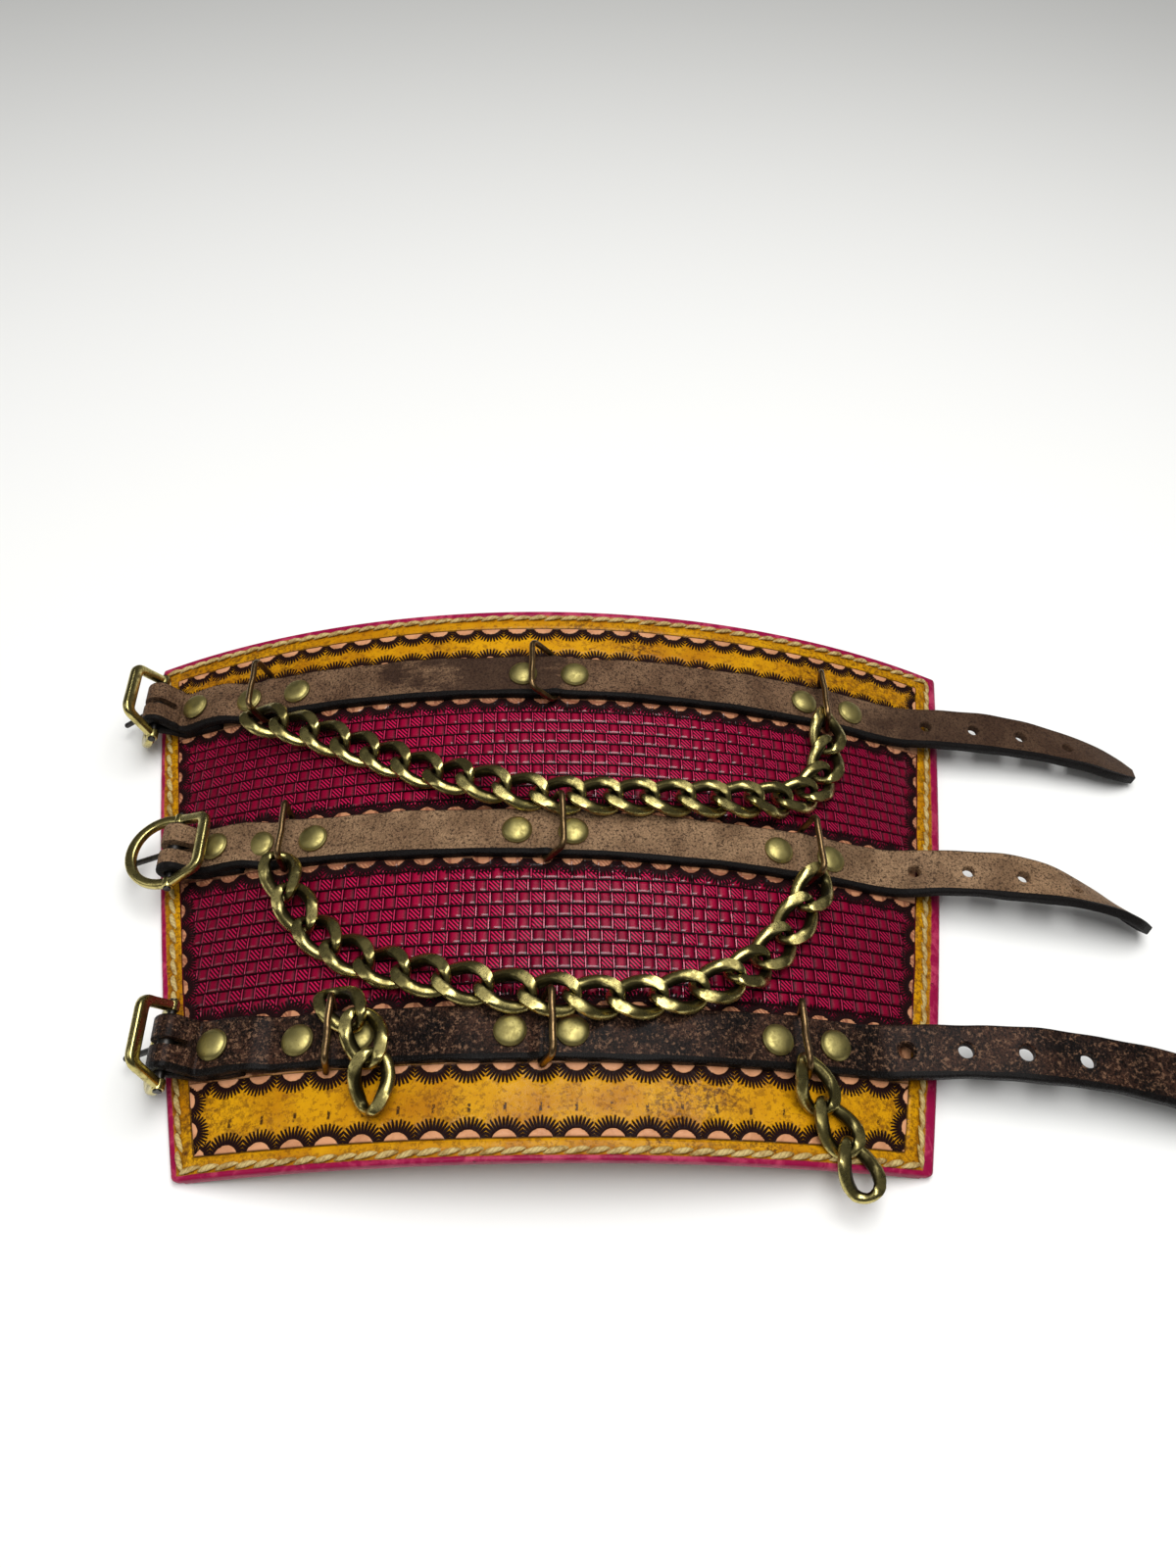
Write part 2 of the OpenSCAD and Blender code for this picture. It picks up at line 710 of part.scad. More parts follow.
elbow_left_0 = anchor(2, 0, -1, end_h) + hang * way(-40);
elbow_left_curve = [elbow_left_0, elbow_left_0 + 30 * way(-20), elbow_mid - 34 * way(-8), elbow_mid];
elbow_right_3 = anchor(2, 2, -1, end_h) - 0.8 * hang * way(86);
elbow_right_curve = [elbow_mid, elbow_mid + 64 * way(2), elbow_right_3 - 34 * way(98), elbow_right_3];
middle_left_0 = anchor(1, 0, -1, end_h) + hang * way(-84);
middle_left_curve = [middle_left_0, middle_left_0 + 28 * way(-76), middle_mid - 44 * way(-12), middle_mid];
middle_right_3 = anchor(1, 2, -1, end_h) - hang * way(80);
middle_right_curve = [middle_mid, middle_mid + 44 * way(-2), middle_right_3 - 36 * way(63), middle_right_3];

// Dangling ends: the joints between links, as arc length, y and height
left_a = [-38, -68, -94];
left_0 = anchor(0, 0, 1, end_h) + (hang - pitch / 2) * way(left_a[0]);
left_1 = left_0 + pitch * way(left_a[0]);
left_2 = left_1 + pitch * way(left_a[1]);
left_3 = left_2 + pitch * way(left_a[2]);
left_js = [
    [left_0[0], left_0[1], end_h],
    [left_1[0], left_1[1], lie_h + layer + cap_h + 0.4],
    [left_2[0], left_2[1], lie_h + layer + 0.5 * cap_h + 0.3],
    [left_3[0], left_3[1], lie_h]
];
right_a = [-58, -62, -69];
right_0 = anchor(0, 2, -1, end_h) + (0.84 * hang - pitch / 2) * way(right_a[0]);
right_1 = right_0 + pitch * way(right_a[0]);
right_2 = right_1 + pitch * way(right_a[1]);
right_3 = right_2 + pitch * way(right_a[2]);
right_js = [
    [right_0[0], right_0[1], end_h + 0.6],
    [right_1[0], right_1[1], lie_h],
    [right_2[0], right_2[1], lie_h],
    [right_3[0], right_3[1], lie_h - 1]
];

module dangle(js, k) {
    color(brass)
        on_floor()
            place_link(js[k], js[k + 1]);
}

strap_tan = [0.50, 0.39, 0.30];
strap_dark = [0.20, 0.14, 0.11];

lining();
tooled_panel();
strap(0, strap_dark);  // wrist_strap
strap(1, strap_tan);  // middle_strap
strap(2, strap_tan);  // elbow_strap
rivet_caps(0);  // wrist_rivet_caps
rivet_caps(1);  // middle_rivet_caps
rivet_caps(2);  // elbow_rivet_caps
rivet_posts(0);  // wrist_rivet_posts
rivet_posts(1);  // middle_rivet_posts
rivet_posts(2);  // elbow_rivet_posts
buckle_frame(0);  // wrist_buckle_frame
buckle_frame(1);  // middle_buckle_frame
buckle_frame(2);  // elbow_buckle_frame
buckle_bar(0);  // wrist_buckle_bar
buckle_bar(1);  // middle_buckle_bar
buckle_bar(2);  // elbow_buckle_bar
buckle_prong(0);  // wrist_buckle_prong
buckle_prong(1);  // middle_buckle_prong
buckle_prong(2);  // elbow_buckle_prong
ring(0, 0);  // wrist_ring_left
ring(0, 1);  // wrist_ring_centre
ring(0, 2);  // wrist_ring_right
ring(1, 0);  // middle_ring_left
ring(1, 1);  // middle_ring_centre
ring(1, 2);  // middle_ring_right
ring(2, 0);  // elbow_ring_left
ring(2, 1);  // elbow_ring_centre
ring(2, 2);  // elbow_ring_right
left_links(elbow_left_curve, elbow_right_curve);  // elbow_chain_left
right_links(elbow_left_curve, elbow_right_curve);  // elbow_chain_right
left_links(middle_left_curve, middle_right_curve);  // middle_chain_left
right_links(middle_left_curve, middle_right_curve);  // middle_chain_right
dangle(left_js, 0);  // left_dangle_1
dangle(left_js, 1);  // left_dangle_2
dangle(left_js, 2);  // left_dangle_3
dangle(right_js, 0);  // right_dangle_1
dangle(right_js, 1);  // right_dangle_2
dangle(right_js, 2);  // right_dangle_3
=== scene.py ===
"""Looks of the leather bracer: tooled and dyed panel, waxed stitching, distressed straps,
domed rivets, wire rings, curb chains and buckles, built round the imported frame."""

import math

import bmesh
import bpy
import numpy as np
from mathutils import Matrix, Vector


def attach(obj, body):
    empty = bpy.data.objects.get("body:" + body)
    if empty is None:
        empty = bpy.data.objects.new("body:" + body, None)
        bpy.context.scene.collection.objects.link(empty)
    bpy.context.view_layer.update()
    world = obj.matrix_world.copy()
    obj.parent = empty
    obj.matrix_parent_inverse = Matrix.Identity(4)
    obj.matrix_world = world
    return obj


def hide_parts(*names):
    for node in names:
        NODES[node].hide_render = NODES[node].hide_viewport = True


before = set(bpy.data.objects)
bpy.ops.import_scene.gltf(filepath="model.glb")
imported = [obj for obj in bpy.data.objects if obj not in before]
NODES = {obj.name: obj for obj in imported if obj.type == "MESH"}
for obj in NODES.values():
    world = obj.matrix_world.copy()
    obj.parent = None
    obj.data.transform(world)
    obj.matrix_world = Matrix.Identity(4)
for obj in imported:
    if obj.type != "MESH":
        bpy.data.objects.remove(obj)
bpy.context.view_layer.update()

MM = 0.001

# Sizes, in millimetres
ARCH_R = 300.0
HIDE_T = 2.0
LINING_T = 1.0
PANEL_L = 184.5
WRIST_W = 201.0
ELBOW_W = 280.0
CORNER_R = 1.4
STRAP_W = 15.5
STRAP_T = 2.8
CAP_R = 4.5
WIRE_R = 0.95
SEAT = 0.05
INNER_R = ARCH_R - HIDE_T - LINING_T
WRIST_A = math.asin(WRIST_W / 2 / ARCH_R)
ELBOW_A = math.asin(ELBOW_W / 2 / ARCH_R)
WRIST_Z = INNER_R * math.cos(WRIST_A) - ARCH_R
ELBOW_Z = INNER_R * math.cos(ELBOW_A) - ARCH_R
TILT = math.atan((WRIST_Z - ELBOW_Z) / PANEL_L)
EDGE_MID_A = (WRIST_A + ELBOW_A) / 2
MIDDLE = (27.07, 87.67)
REST = 0.4


def on_floor(x, y, z):
    """Places in the arch's own frame, in millimetres, as places on the floor, in metres."""
    up = np.asarray(z) - WRIST_Z
    y = np.asarray(y)
    out = [x - MIDDLE[0] + 0 * y, y * math.cos(TILT) - up * math.sin(TILT) - MIDDLE[1],
           y * math.sin(TILT) + up * math.cos(TILT) - REST]
    return np.stack(np.broadcast_arrays(*out), -1) * MM


def on_face(s, y, h):
    """Places h above the panel's face, s along its arc from the ridge and y from the wrist end."""
    a = np.asarray(s) / ARCH_R
    return on_floor((ARCH_R + h) * np.sin(a), y, (ARCH_R + h) * np.cos(a) - ARCH_R)


def corner_in(d):
    """How far a rounded corner draws the side edge in, at a distance from the panel's end."""
    d = np.maximum(d, 0)
    return np.where(d >= CORNER_R, 0, CORNER_R - np.sqrt(np.maximum(0, d * (2 * CORNER_R - d))))


def side_line(y, rounded=True):
    """Arc length from the ridge to the side edge."""
    floor_z = WRIST_Z + (ELBOW_Z - WRIST_Z) * y / PANEL_L
    u = INNER_R * np.sin(np.arccos((floor_z + ARCH_R) / INNER_R) - EDGE_MID_A)
    if rounded:
        u = u - corner_in(y) - corner_in(PANEL_L - y)
    return ARCH_R * (EDGE_MID_A + np.arcsin(u / ARCH_R))


SLANT = math.atan(float(side_line(PANEL_L, False) - side_line(0.0, False)) / PANEL_L)

# Patterns. One set of formulas shapes the leather's mesh and draws its materials: each runs on arrays or on nodes


class Val:
    """A number that varies over a surface, at a socket of a node tree."""

    def __init__(self, tree, socket):
        self.tree, self.socket = tree, socket

    def __add__(self, o): return math_node("ADD", self, o)
    def __radd__(self, o): return math_node("ADD", o, self)
    def __sub__(self, o): return math_node("SUBTRACT", self, o)
    def __rsub__(self, o): return math_node("SUBTRACT", o, self)
    def __mul__(self, o): return math_node("MULTIPLY", self, o)
    def __rmul__(self, o): return math_node("MULTIPLY", o, self)
    def __truediv__(self, o): return math_node("DIVIDE", self, o)


def math_node(kind, *args):
    tree = next(a.tree for a in args if isinstance(a, Val))
    n = tree.nodes.new("ShaderNodeMath")
    n.operation = kind
    for i, a in enumerate(args):
        if isinstance(a, Val):
            tree.links.new(a.socket, n.inputs[i])
        else:
            n.inputs[i].default_value = float(a)
    return Val(tree, n.outputs[0])


def either(kind, plain):
    def work(*args):
        if any(isinstance(a, Val) for a in args):
            return math_node(kind, *args)
        return plain(*args)
    return work


floor_ = either("FLOOR", np.floor)
fract = either("FRACT", lambda x: x - np.floor(x))
absolute = either("ABSOLUTE", np.abs)
least = either("MINIMUM", np.minimum)
most = either("MAXIMUM", np.maximum)
sine = either("SINE", np.sin)
root = either("SQRT", np.sqrt)
turn_of = either("ARCTAN2", np.arctan2)
below = either("LESS_THAN", lambda a, b: (a < b) * 1.0)


def ramp(x, a, b):
    """0 where x is at a, 1 where it is at b, smooth between."""
    if isinstance(x, Val):
        n = x.tree.nodes.new("ShaderNodeMapRange")
        n.interpolation_type = "SMOOTHSTEP"
        x.tree.links.new(x.socket, n.inputs["Value"])
        n.inputs["From Min"].default_value, n.inputs["From Max"].default_value = (a, b) if a < b else (b, a)
        if a > b:
            n.inputs["To Min"].default_value, n.inputs["To Max"].default_value = 1.0, 0.0
        return Val(x.tree, n.outputs["Result"])
    t = np.clip((x - a) / (b - a), 0, 1)
    return t * t * (3 - 2 * t)


# Basket stamps: a row's height, the width of a pair of cells, the hatched cell's share and the hatching's spacing
ROW_H = 4.05
CELL_W = 7.85
HATCHED = 0.50
HATCH_STEP = 1.36


def basket(s, y):
    """Basketweave stamping: hatched and plain cells by turns, half a pair further along on each row."""
    row = floor_(y / ROW_H)
    t = fract(y / ROW_H)
    wander = sine(row * 2.4) * 0.05 + sine(row * 1.1 + s * 0.045) * 0.035
    c = fract(s / CELL_W + row * 0.5 + wander)
    hatched = below(c, HATCHED)
    side = most(least(c, HATCHED - c), least(c - HATCHED, 1.0 - c)) * CELL_W
    low, high = t * ROW_H, (1.0 - t) * ROW_H
    across = absolute((c - HATCHED) / (1.0 - HATCHED) - 0.5) * 2.0
    hollow = (1.0 - hatched) * ramp(across, 0.22, 0.88)
    pillow = ramp(low, 0.05, 0.95) * ramp(high, 0.05, 0.40)
    body = ramp(side, 0.10, 0.45) * pillow
    face = ramp(side, 0.38, 0.58) * ramp(low, 0.22, 0.44) * ramp(high, 0.45, 0.66)
    stripe = fract((s * 1.1 + y) / HATCH_STEP)
    trench = ramp(absolute(stripe - 0.5), 0.34, 0.22) * hatched * face
    rib = (ramp(absolute(c - HATCHED), 0.030, 0.012) + ramp(least(c, 1.0 - c), 0.030, 0.012)) \
        * ramp(low, 0.2, 0.6) * ramp(high, 0.1, 0.3)
    lip = (1.0 - hatched) * ramp(absolute(low - 0.75), 0.32, 0.12) * ramp(side, 0.3, 0.6)
    height = body * (1.0 - hollow * 0.55) * 0.50 - 0.50 + rib * 0.26
    return {"hatched": hatched, "face": face, "trench": trench, "hollow": hollow,
            "rib": rib, "lip": lip, "height": height}


# Fan stamps: the disc's centre behind its line, the radii of disc and rays, and rays to a radian
# Rows with a pitch below SMALL_PITCH have stamps with radii smaller by SMALL_LESS
DISC_BACK = 1.25
DISC_R = 3.45
FAN_R = 6.9
RAYS = 5.7
SMALL_PITCH, SMALL_LESS = 8.7, 0.7


def fans(u, v, pitch):
    """Half-round stamps in a row, flat side on the line, with rays fanning inwards."""
    n = floor_(u / pitch)
    cu = (fract(u / pitch) - 0.5) * pitch
    back = v + DISC_BACK
    r = root(cu * cu + back * back) + below(pitch, SMALL_PITCH) * SMALL_LESS
    turn = turn_of(cu, back)
    ray = absolute(fract(turn * RAYS + 0.5 + n * 0.37) - 0.5) * 2.0
    reach = r + sine(turn * 19.0 + n * 2.1) * 0.16
    disc = ramp(r, DISC_R + 0.06, DISC_R - 0.10) * ramp(v, -0.05, 0.10)
    width = ramp(r, FAN_R + 1.9, DISC_R + 0.25) * 1.04
    inked = ramp(width - ray, -0.10, 0.10) * ramp(reach, FAN_R, FAN_R - 0.35) * ramp(v, -0.02, 0.08)
    inked = inked * (1.0 - disc)
    height = disc * 0.12 - inked * 0.34 - ramp(absolute(r - DISC_R - 0.15), 0.3, 0.05) * 0.12
    return {"disc": disc, "ink": inked, "height": height}


# Border of the panel, side by side: width of the dyed rim and distance of the tooled line from the edge
RIM = {"near": 1.1, "right": 3.0, "far": 1.9, "left": 1.5}
LINE = {"near": 5.9, "right": 9.4, "far": 7.9, "left": 7.3}
SIDES = ("near", "right", "far", "left")
# The tooled line and the stitching groove, in the border's own measure: 1 at the rim, 2 at the line's distance
LINE_AT, GROOVE_AT = 1.955, 1.24
# Where the basket stamps start, inwards from a field's edge
WEAVE_IN = 2.9
# The fields between the straps' tan strips: near and far lines as y at the ridge and slope
FIELDS = {
    "near_field": ((None, 0), (25.6, -0.004)),
    "lower_weave": ((41.2, -0.010), (87.9, -0.028)),
    "upper_weave": ((103.6, -0.030), (147.1, -0.016)),
    "far_field": ((162.2, -0.016), (None, 0)),
}
# The panel's four pieces meet under the straps
SPLITS = [0.0, 33.2, 95.2, 154.5, PANEL_L]
NEAR_PITCH, STRAP_PITCH, FIELD_PITCH, SIDE_PITCH = 9.25, 9.5, 8.75, 8.6
# The small ticks beyond the near row's rays
TICK_IN = 7.8


def edge_distances(s, y):
    """Distance from each of the panel's four edges."""
    line = side_line(y, False)
    return {"near": y, "right": (line - s) * math.cos(SLANT),
            "far": PANEL_L - y, "left": (s + line) * math.cos(SLANT)}


def rim_measure(d, side):
    """0 at the edge, 1 where the dyed rim ends, 2 at the tooled line."""
    return np.where(d < RIM[side], d / RIM[side], 1 + (d - RIM[side]) / (LINE[side] - RIM[side]))


def field_distances(name, s, y):
    """Distance inwards from each of the four lines round a field."""
    d = edge_distances(s, y)
    lo, hi = FIELDS[name]
    out = {"left": d["left"] - LINE["left"], "right": d["right"] - LINE["right"]}
    out["near"] = d["near"] - LINE["near"] if lo[0] is None else y - lo[0] - lo[1] * s
    out["far"] = d["far"] - LINE["far"] if hi[0] is None else hi[0] + hi[1] * s - y
    return out


def pitch_of(name, side):
    if side in ("left", "right"):
        return SIDE_PITCH
    if name == "near_field":
        return NEAR_PITCH if side == "near" else STRAP_PITCH
    return FIELD_PITCH


def run_along(side, s, y):
    return y if side in ("left", "right") else s


def rolls(s, y):
    """Slow unevenness of the hide."""
    broad = 0.10 * np.sin(s * 0.11 + y * 0.05) * np.sin(y * 0.16 + 1.0)
    return broad + 0.05 * np.sin(s * 0.31 + 2) * np.sin(y * 0.27)


def relief(name, s, y):
    """Height of the tooled face over the panel's plain face, in millimetres."""
    d = edge_distances(s, y)
    q = np.min([rim_measure(d[k], k) for k in SIDES], 0)
    outline = np.min([d[k] for k in SIDES], 0)
    for a in ("near", "far"):
        for b in ("left", "right"):
            inside = (d[a] < CORNER_R) & (d[b] < CORNER_R)
            corner = CORNER_R - np.hypot(CORNER_R - d[a], CORNER_R - d[b])
            outline = np.where(inside, corner, outline)
    f = field_distances(name, s, y)
    v = np.min([f[k] for k in SIDES], 0)
    h = np.zeros_like(s)
    for k in SIDES:
        here = f[k] <= v + 1e-9
        border = fans(run_along(k, s, y), f[k], pitch_of(name, k))["height"]
        h = np.where(here & (v > 0), border, h)
    if "weave" in name:
        h = np.where(v > 0, h + basket(s, y)["height"] * 0.6 * ramp(v, WEAVE_IN, WEAVE_IN + 0.8), h)
    h = h - 0.42 * ramp(np.abs(q - LINE_AT), 0.055, 0.02)
    h = h - 0.40 * ramp(np.abs(q - GROOVE_AT), 0.26, 0.10) * (q < 2)
    h = h + rolls(s, y) * ramp(q, 0.5, 2.0)
    round_over = np.clip(1 - outline / 0.9, 0, 1)
    return np.minimum(h, 0.2) - 0.55 * (1 - np.sqrt(1 - round_over ** 2))


# Mesh helpers


def finish_piece(name, me, body, slot, mats, smooth=35, replaces=()):
    me.name = name
    for m in mats:
        me.materials.append(m)
    me.polygons.foreach_set("use_smooth", np.ones(len(me.polygons), bool))
    me.set_sharp_from_angle(angle=math.radians(smooth))
    obj = bpy.data.objects.new(name, me)
    bpy.context.scene.collection.objects.link(obj)
    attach(obj, body)
    if replaces:
        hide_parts(*replaces)


def read(items, key, width):
    out = np.zeros(len(items) * width)
    items.foreach_get(key, out)
    return out.reshape(-1, width)


def whole(items, key):
    out = np.zeros(len(items), np.int64)
    items.foreach_get(key, out)
    return out


def add_uv(me, name, values):
    layer = me.uv_layers.new(name=name)
    layer.data.foreach_set("uv", np.ascontiguousarray(values, np.float32).ravel())


def add_value(me, name, values):
    layer = me.attributes.new(name, "FLOAT", "CORNER")
    layer.data.foreach_set("value", values.astype(np.float32))


def sweep(rings, u=None, v=None, closed=False, values=None):
    """A tube skinned over rings of places, in metres; u and v run along and round it, in millimetres."""
    m, n = rings.shape[:2]
    rows = m + 1 if closed else m
    bm = bmesh.new()
    bmesh.ops.create_grid(bm, x_segments=n, y_segments=rows - 1, size=0.5)
    xs = sorted({round(p.co.x, 5) for p in bm.verts})
    ys = sorted({round(p.co.y, 5) for p in bm.verts})
    at_x, at_y = {x: i for i, x in enumerate(xs)}, {y: j for j, y in enumerate(ys)}
    layer = bm.loops.layers.uv.new("Run")
    extra = bm.verts.layers.float.new(values[0]) if values else None
    place = {p.index: (at_x[round(p.co.x, 5)], at_y[round(p.co.y, 5)]) for p in bm.verts}
    u = np.arange(rows) if u is None else u
    v = np.arange(n + 1) if v is None else v
    for f in bm.faces:
        for loop in f.loops:
            i, j = place[loop.vert.index]
            loop[layer].uv = (u[j], v[i])
    for p in bm.verts:
        i, j = place[p.index]
        p.co = rings[j % m, i % n]
        if values:
            p[extra] = values[1][j % m, i % n]
    bmesh.ops.remove_doubles(bm, verts=bm.verts, dist=1e-7)
    if not closed:
        bmesh.ops.holes_fill(bm, edges=[e for e in bm.edges if e.is_boundary], sides=0)
    bmesh.ops.recalc_face_normals(bm, faces=bm.faces)
    me = bpy.data.meshes.new("swept")
    bm.to_mesh(me)
    bm.free()
    return me


def joined(meshes):
    """Several meshes as one."""
    bm = bmesh.new()
    for me in meshes:
        bm.from_mesh(me)
        bpy.data.meshes.remove(me)
    out = bpy.data.meshes.new("joined")
    bm.to_mesh(out)
    bm.free()
    return out


def solids_in(node):
    """Centre and axes, longest first, of each solid of a CAD node."""
    bm = bmesh.new()
    bm.from_mesh(NODES[node].data)
    bmesh.ops.remove_doubles(bm, verts=bm.verts, dist=1e-6)
    bm.verts.ensure_lookup_table()
    seen, out = set(), []
    for start in bm.verts:
        if start.index in seen:
            continue
        seen.add(start.index)
        group, todo = [], [start]
        while todo:
            p = todo.pop()
            group.append(p.co[:])
            for e in p.link_edges:
                q = e.other_vert(p)
                if q.index not in seen:
                    seen.add(q.index)
                    todo.append(q)
        pts = np.array(group)
        lo, hi = pts.min(0), pts.max(0)
        axes = np.linalg.svd(pts - pts.mean(0), full_matrices=False)[2]
        if np.linalg.det(axes) < 0:
            axes[2] = -axes[2]
        span = (pts - pts.mean(0)) @ axes.T
        middle = pts.mean(0) + ((span.min(0) + span.max(0)) / 2) @ axes
        out.append((middle, axes))
    bm.free()
    return out


def superellipse(count, a, b, power):
    t = np.arange(count) * 2 * math.pi / count
    c, s = np.cos(t), np.sin(t)
    return np.stack([a * np.sign(c) * np.abs(c) ** power, b * np.sign(s) * np.abs(s) ** power], -1)


def unit(v):
    return v / np.linalg.norm(v, axis=-1, keepdims=True)


# Materials


def new_material(name):
    m = bpy.data.materials.new(name)
    m.use_nodes = True
    return m, m.node_tree, m.node_tree.nodes["Principled BSDF"]


def put(tree, value, socket):
    if isinstance(value, Val):
        tree.links.new(value.socket, socket)
    elif isinstance(value, (tuple, list)):
        socket.default_value = tuple(value) + ((1.0,) if len(value) == 3 and socket.type == "RGBA" else ())
    else:
        socket.default_value = value


def colour(r, g, b):
    """A colour as read off a screen, 0 to 255, as the linear values that a shader takes."""
    out = []
    for c in (r, g, b):
        c = c / 255
        out.append(c / 12.92 if c <= 0.04045 else ((c + 0.055) / 1.055) ** 2.4)
    return tuple(out)


def blend_colour(tree, factor, a, b):
    n = tree.nodes.new("ShaderNodeMix")
    n.data_type = "RGBA"
    put(tree, factor, n.inputs["Factor"])
    put(tree, a, n.inputs[6])
    put(tree, b, n.inputs[7])
    return Val(tree, n.outputs[2])


def object_place(tree):
    n = tree.nodes.new("ShaderNodeTexCoord")
    return Val(tree, n.outputs["Object"])


def uv_pair(tree, name):
    n = tree.nodes.new("ShaderNodeUVMap")
    n.uv_map = name
    s = tree.nodes.new("ShaderNodeSeparateXYZ")
    tree.links.new(n.outputs["UV"], s.inputs[0])
    return Val(tree, s.outputs["X"]), Val(tree, s.outputs["Y"])


def attribute(tree, name):
    n = tree.nodes.new("ShaderNodeAttribute")
    n.attribute_name = name
    return Val(tree, n.outputs["Fac"])


def stretched(tree, place, scale, turn=(0, 0, 0)):
    n = tree.nodes.new("ShaderNodeMapping")
    tree.links.new(place.socket, n.inputs["Vector"])
    n.inputs["Scale"].default_value = scale
    n.inputs["Rotation"].default_value = turn
    return Val(tree, n.outputs["Vector"])


def noise(tree, place, size, detail=2.0, rough=0.5, warp=0.0):
    """Cloudy noise with features about this many millimetres wide."""
    n = tree.nodes.new("ShaderNodeTexNoise")
    tree.links.new(place.socket, n.inputs["Vector"])
    n.inputs["Scale"].default_value = 1000.0 / size
    n.inputs["Detail"].default_value = detail
    n.inputs["Roughness"].default_value = rough
    n.inputs["Distortion"].default_value = warp
    return Val(tree, n.outputs["Fac"])


def cells(tree, place, size, kind="DISTANCE_TO_EDGE"):
    """Distance in a cell pattern with cells about this many millimetres wide, to their edges or middles."""
    n = tree.nodes.new("ShaderNodeTexVoronoi")
    n.feature = kind
    tree.links.new(place.socket, n.inputs["Vector"])
    n.inputs["Scale"].default_value = 1000.0 / size
    return Val(tree, n.outputs["Distance"])


def bumps(tree, height, depth, strength=1.0, over=None):
    """A normal from a height of 0 to 1, this many millimetres deep."""
    n = tree.nodes.new("ShaderNodeBump")
    n.inputs["Strength"].default_value = strength
    n.inputs["Distance"].default_value = depth * MM
    put(tree, height, n.inputs["Height"])
    if over is not None:
        tree.links.new(over.socket, n.inputs["Normal"])
    return Val(tree, n.outputs["Normal"])


KINDS = {"value": "NodeSocketFloat", "colour": "NodeSocketColor", "vector": "NodeSocketVector"}


def effect(name, inputs, outputs, build):
    """A shader node group; inputs and outputs give each socket's kind, and build works out the outputs."""
    group = bpy.data.node_groups.new(name, "ShaderNodeTree")
    for way, sockets in (("INPUT", inputs), ("OUTPUT", outputs)):
        for label, kind in sockets.items():
            group.interface.new_socket(label, in_out=way, socket_type=KINDS[kind])
    start, end = group.nodes.new("NodeGroupInput"), group.nodes.new("NodeGroupOutput")
    made = build(group, *(Val(group, start.outputs[label]) for label in inputs))
    for label, value in zip(outputs, made):
        put(group, value, end.inputs[label])
    return group


def placed(tree, group, *values):
    """The outputs of a group that is placed in a material with these inputs."""
    n = tree.nodes.new("ShaderNodeGroup")
    n.node_tree = group
    for socket, value in zip(n.inputs, values):
        put(tree, value, socket)
    return [Val(tree, out) for out in n.outputs]


FUCHSIA = colour(140, 14, 60)
INK = colour(26, 7, 8)
TAN = colour(206, 148, 108)
CRIMSON = colour(146, 3, 48)
PINK = colour(214, 24, 84)
WINE = colour(14, 0, 3)


def hide_grain(g, place):
    cloud = noise(g, place, 17, 4.0, 0.62)
    grain = noise(g, place, 1.1, 3.0, 0.6)
    pores = cells(g, place, 0.75)
    blot = noise(g, place, 6.5, 5.0, 0.7, 0.6)
    nick = noise(g, stretched(g, place, (1.0, 3.2, 1.0), (0, 0, 0.6)), 2.6, 4.0, 0.75)
    height = grain * 0.5 + ramp(pores, 0.0, 0.22) * 0.3 - ramp(nick, 0.66, 0.76) * 0.8
    return cloud, grain, blot, nick, height


HIDE_GRAIN = effect("hide grain", {"Place": "vector"},
                    {"Cloud": "value", "Grain": "value", "Blot": "value", "Nick": "value", "Height": "value"},
                    hide_grain)


def ochre_dye(g, place, across, cloud, blot, nick):
    """Ochre dye with dull blots, specks, nicks and the grime that thickens towards the sides."""
    speck = cells(g, place, 4.6, "F1")
    dull = ramp(blot, 0.56, 0.70)
    dye = blend_colour(g, ramp(cloud, 0.30, 0.72), colour(206, 148, 8), colour(172, 110, 5))
    dye = blend_colour(g, dull * 0.75, dye, colour(108, 58, 16))
    dye = blend_colour(g, ramp(speck, 0.115, 0.04) * ramp(blot, 0.45, 0.6), dye, colour(92, 44, 20))
    dye = blend_colour(g, ramp(nick, 0.70, 0.78) * 0.7, dye, colour(96, 48, 14))
    patches = ramp(noise(g, place, 24, 3.0, 0.6), 0.50, 0.68)
    grime = patches * ramp(noise(g, place, 1.3, 4.0, 0.8), 0.46, 0.60)
    at_sides = ramp(absolute(across), 62, 100) * ramp(noise(g, place, 1.6, 4.0, 0.8), 0.44, 0.62) * 0.8
    grime = most(grime, at_sides)
    mottle = ramp(noise(g, place, 1.7, 3.0, 0.8), 0.52, 0.60) * 0.5
    dye = blend_colour(g, mottle, dye, colour(104, 62, 10))
    dye = blend_colour(g, grime * 0.85, dye, colour(64, 34, 12))
    return dye, dull


OCHRE_DYE = effect("ochre dye", {"Place": "vector", "Across": "value", "Cloud": "value", "Blot": "value",
                                 "Nick": "value"}, {"Dye": "colour", "Dull": "value"}, ochre_dye)


def fan_masks(g, along, inwards, pitch):
    fan = fans(along, inwards, pitch)
    return fan["disc"], fan["ink"]


FAN_STAMPS = effect("fan stamps", {"Along": "value", "Inwards": "value", "Pitch": "value"},
                    {"Disc": "value", "Ink": "value"}, fan_masks)


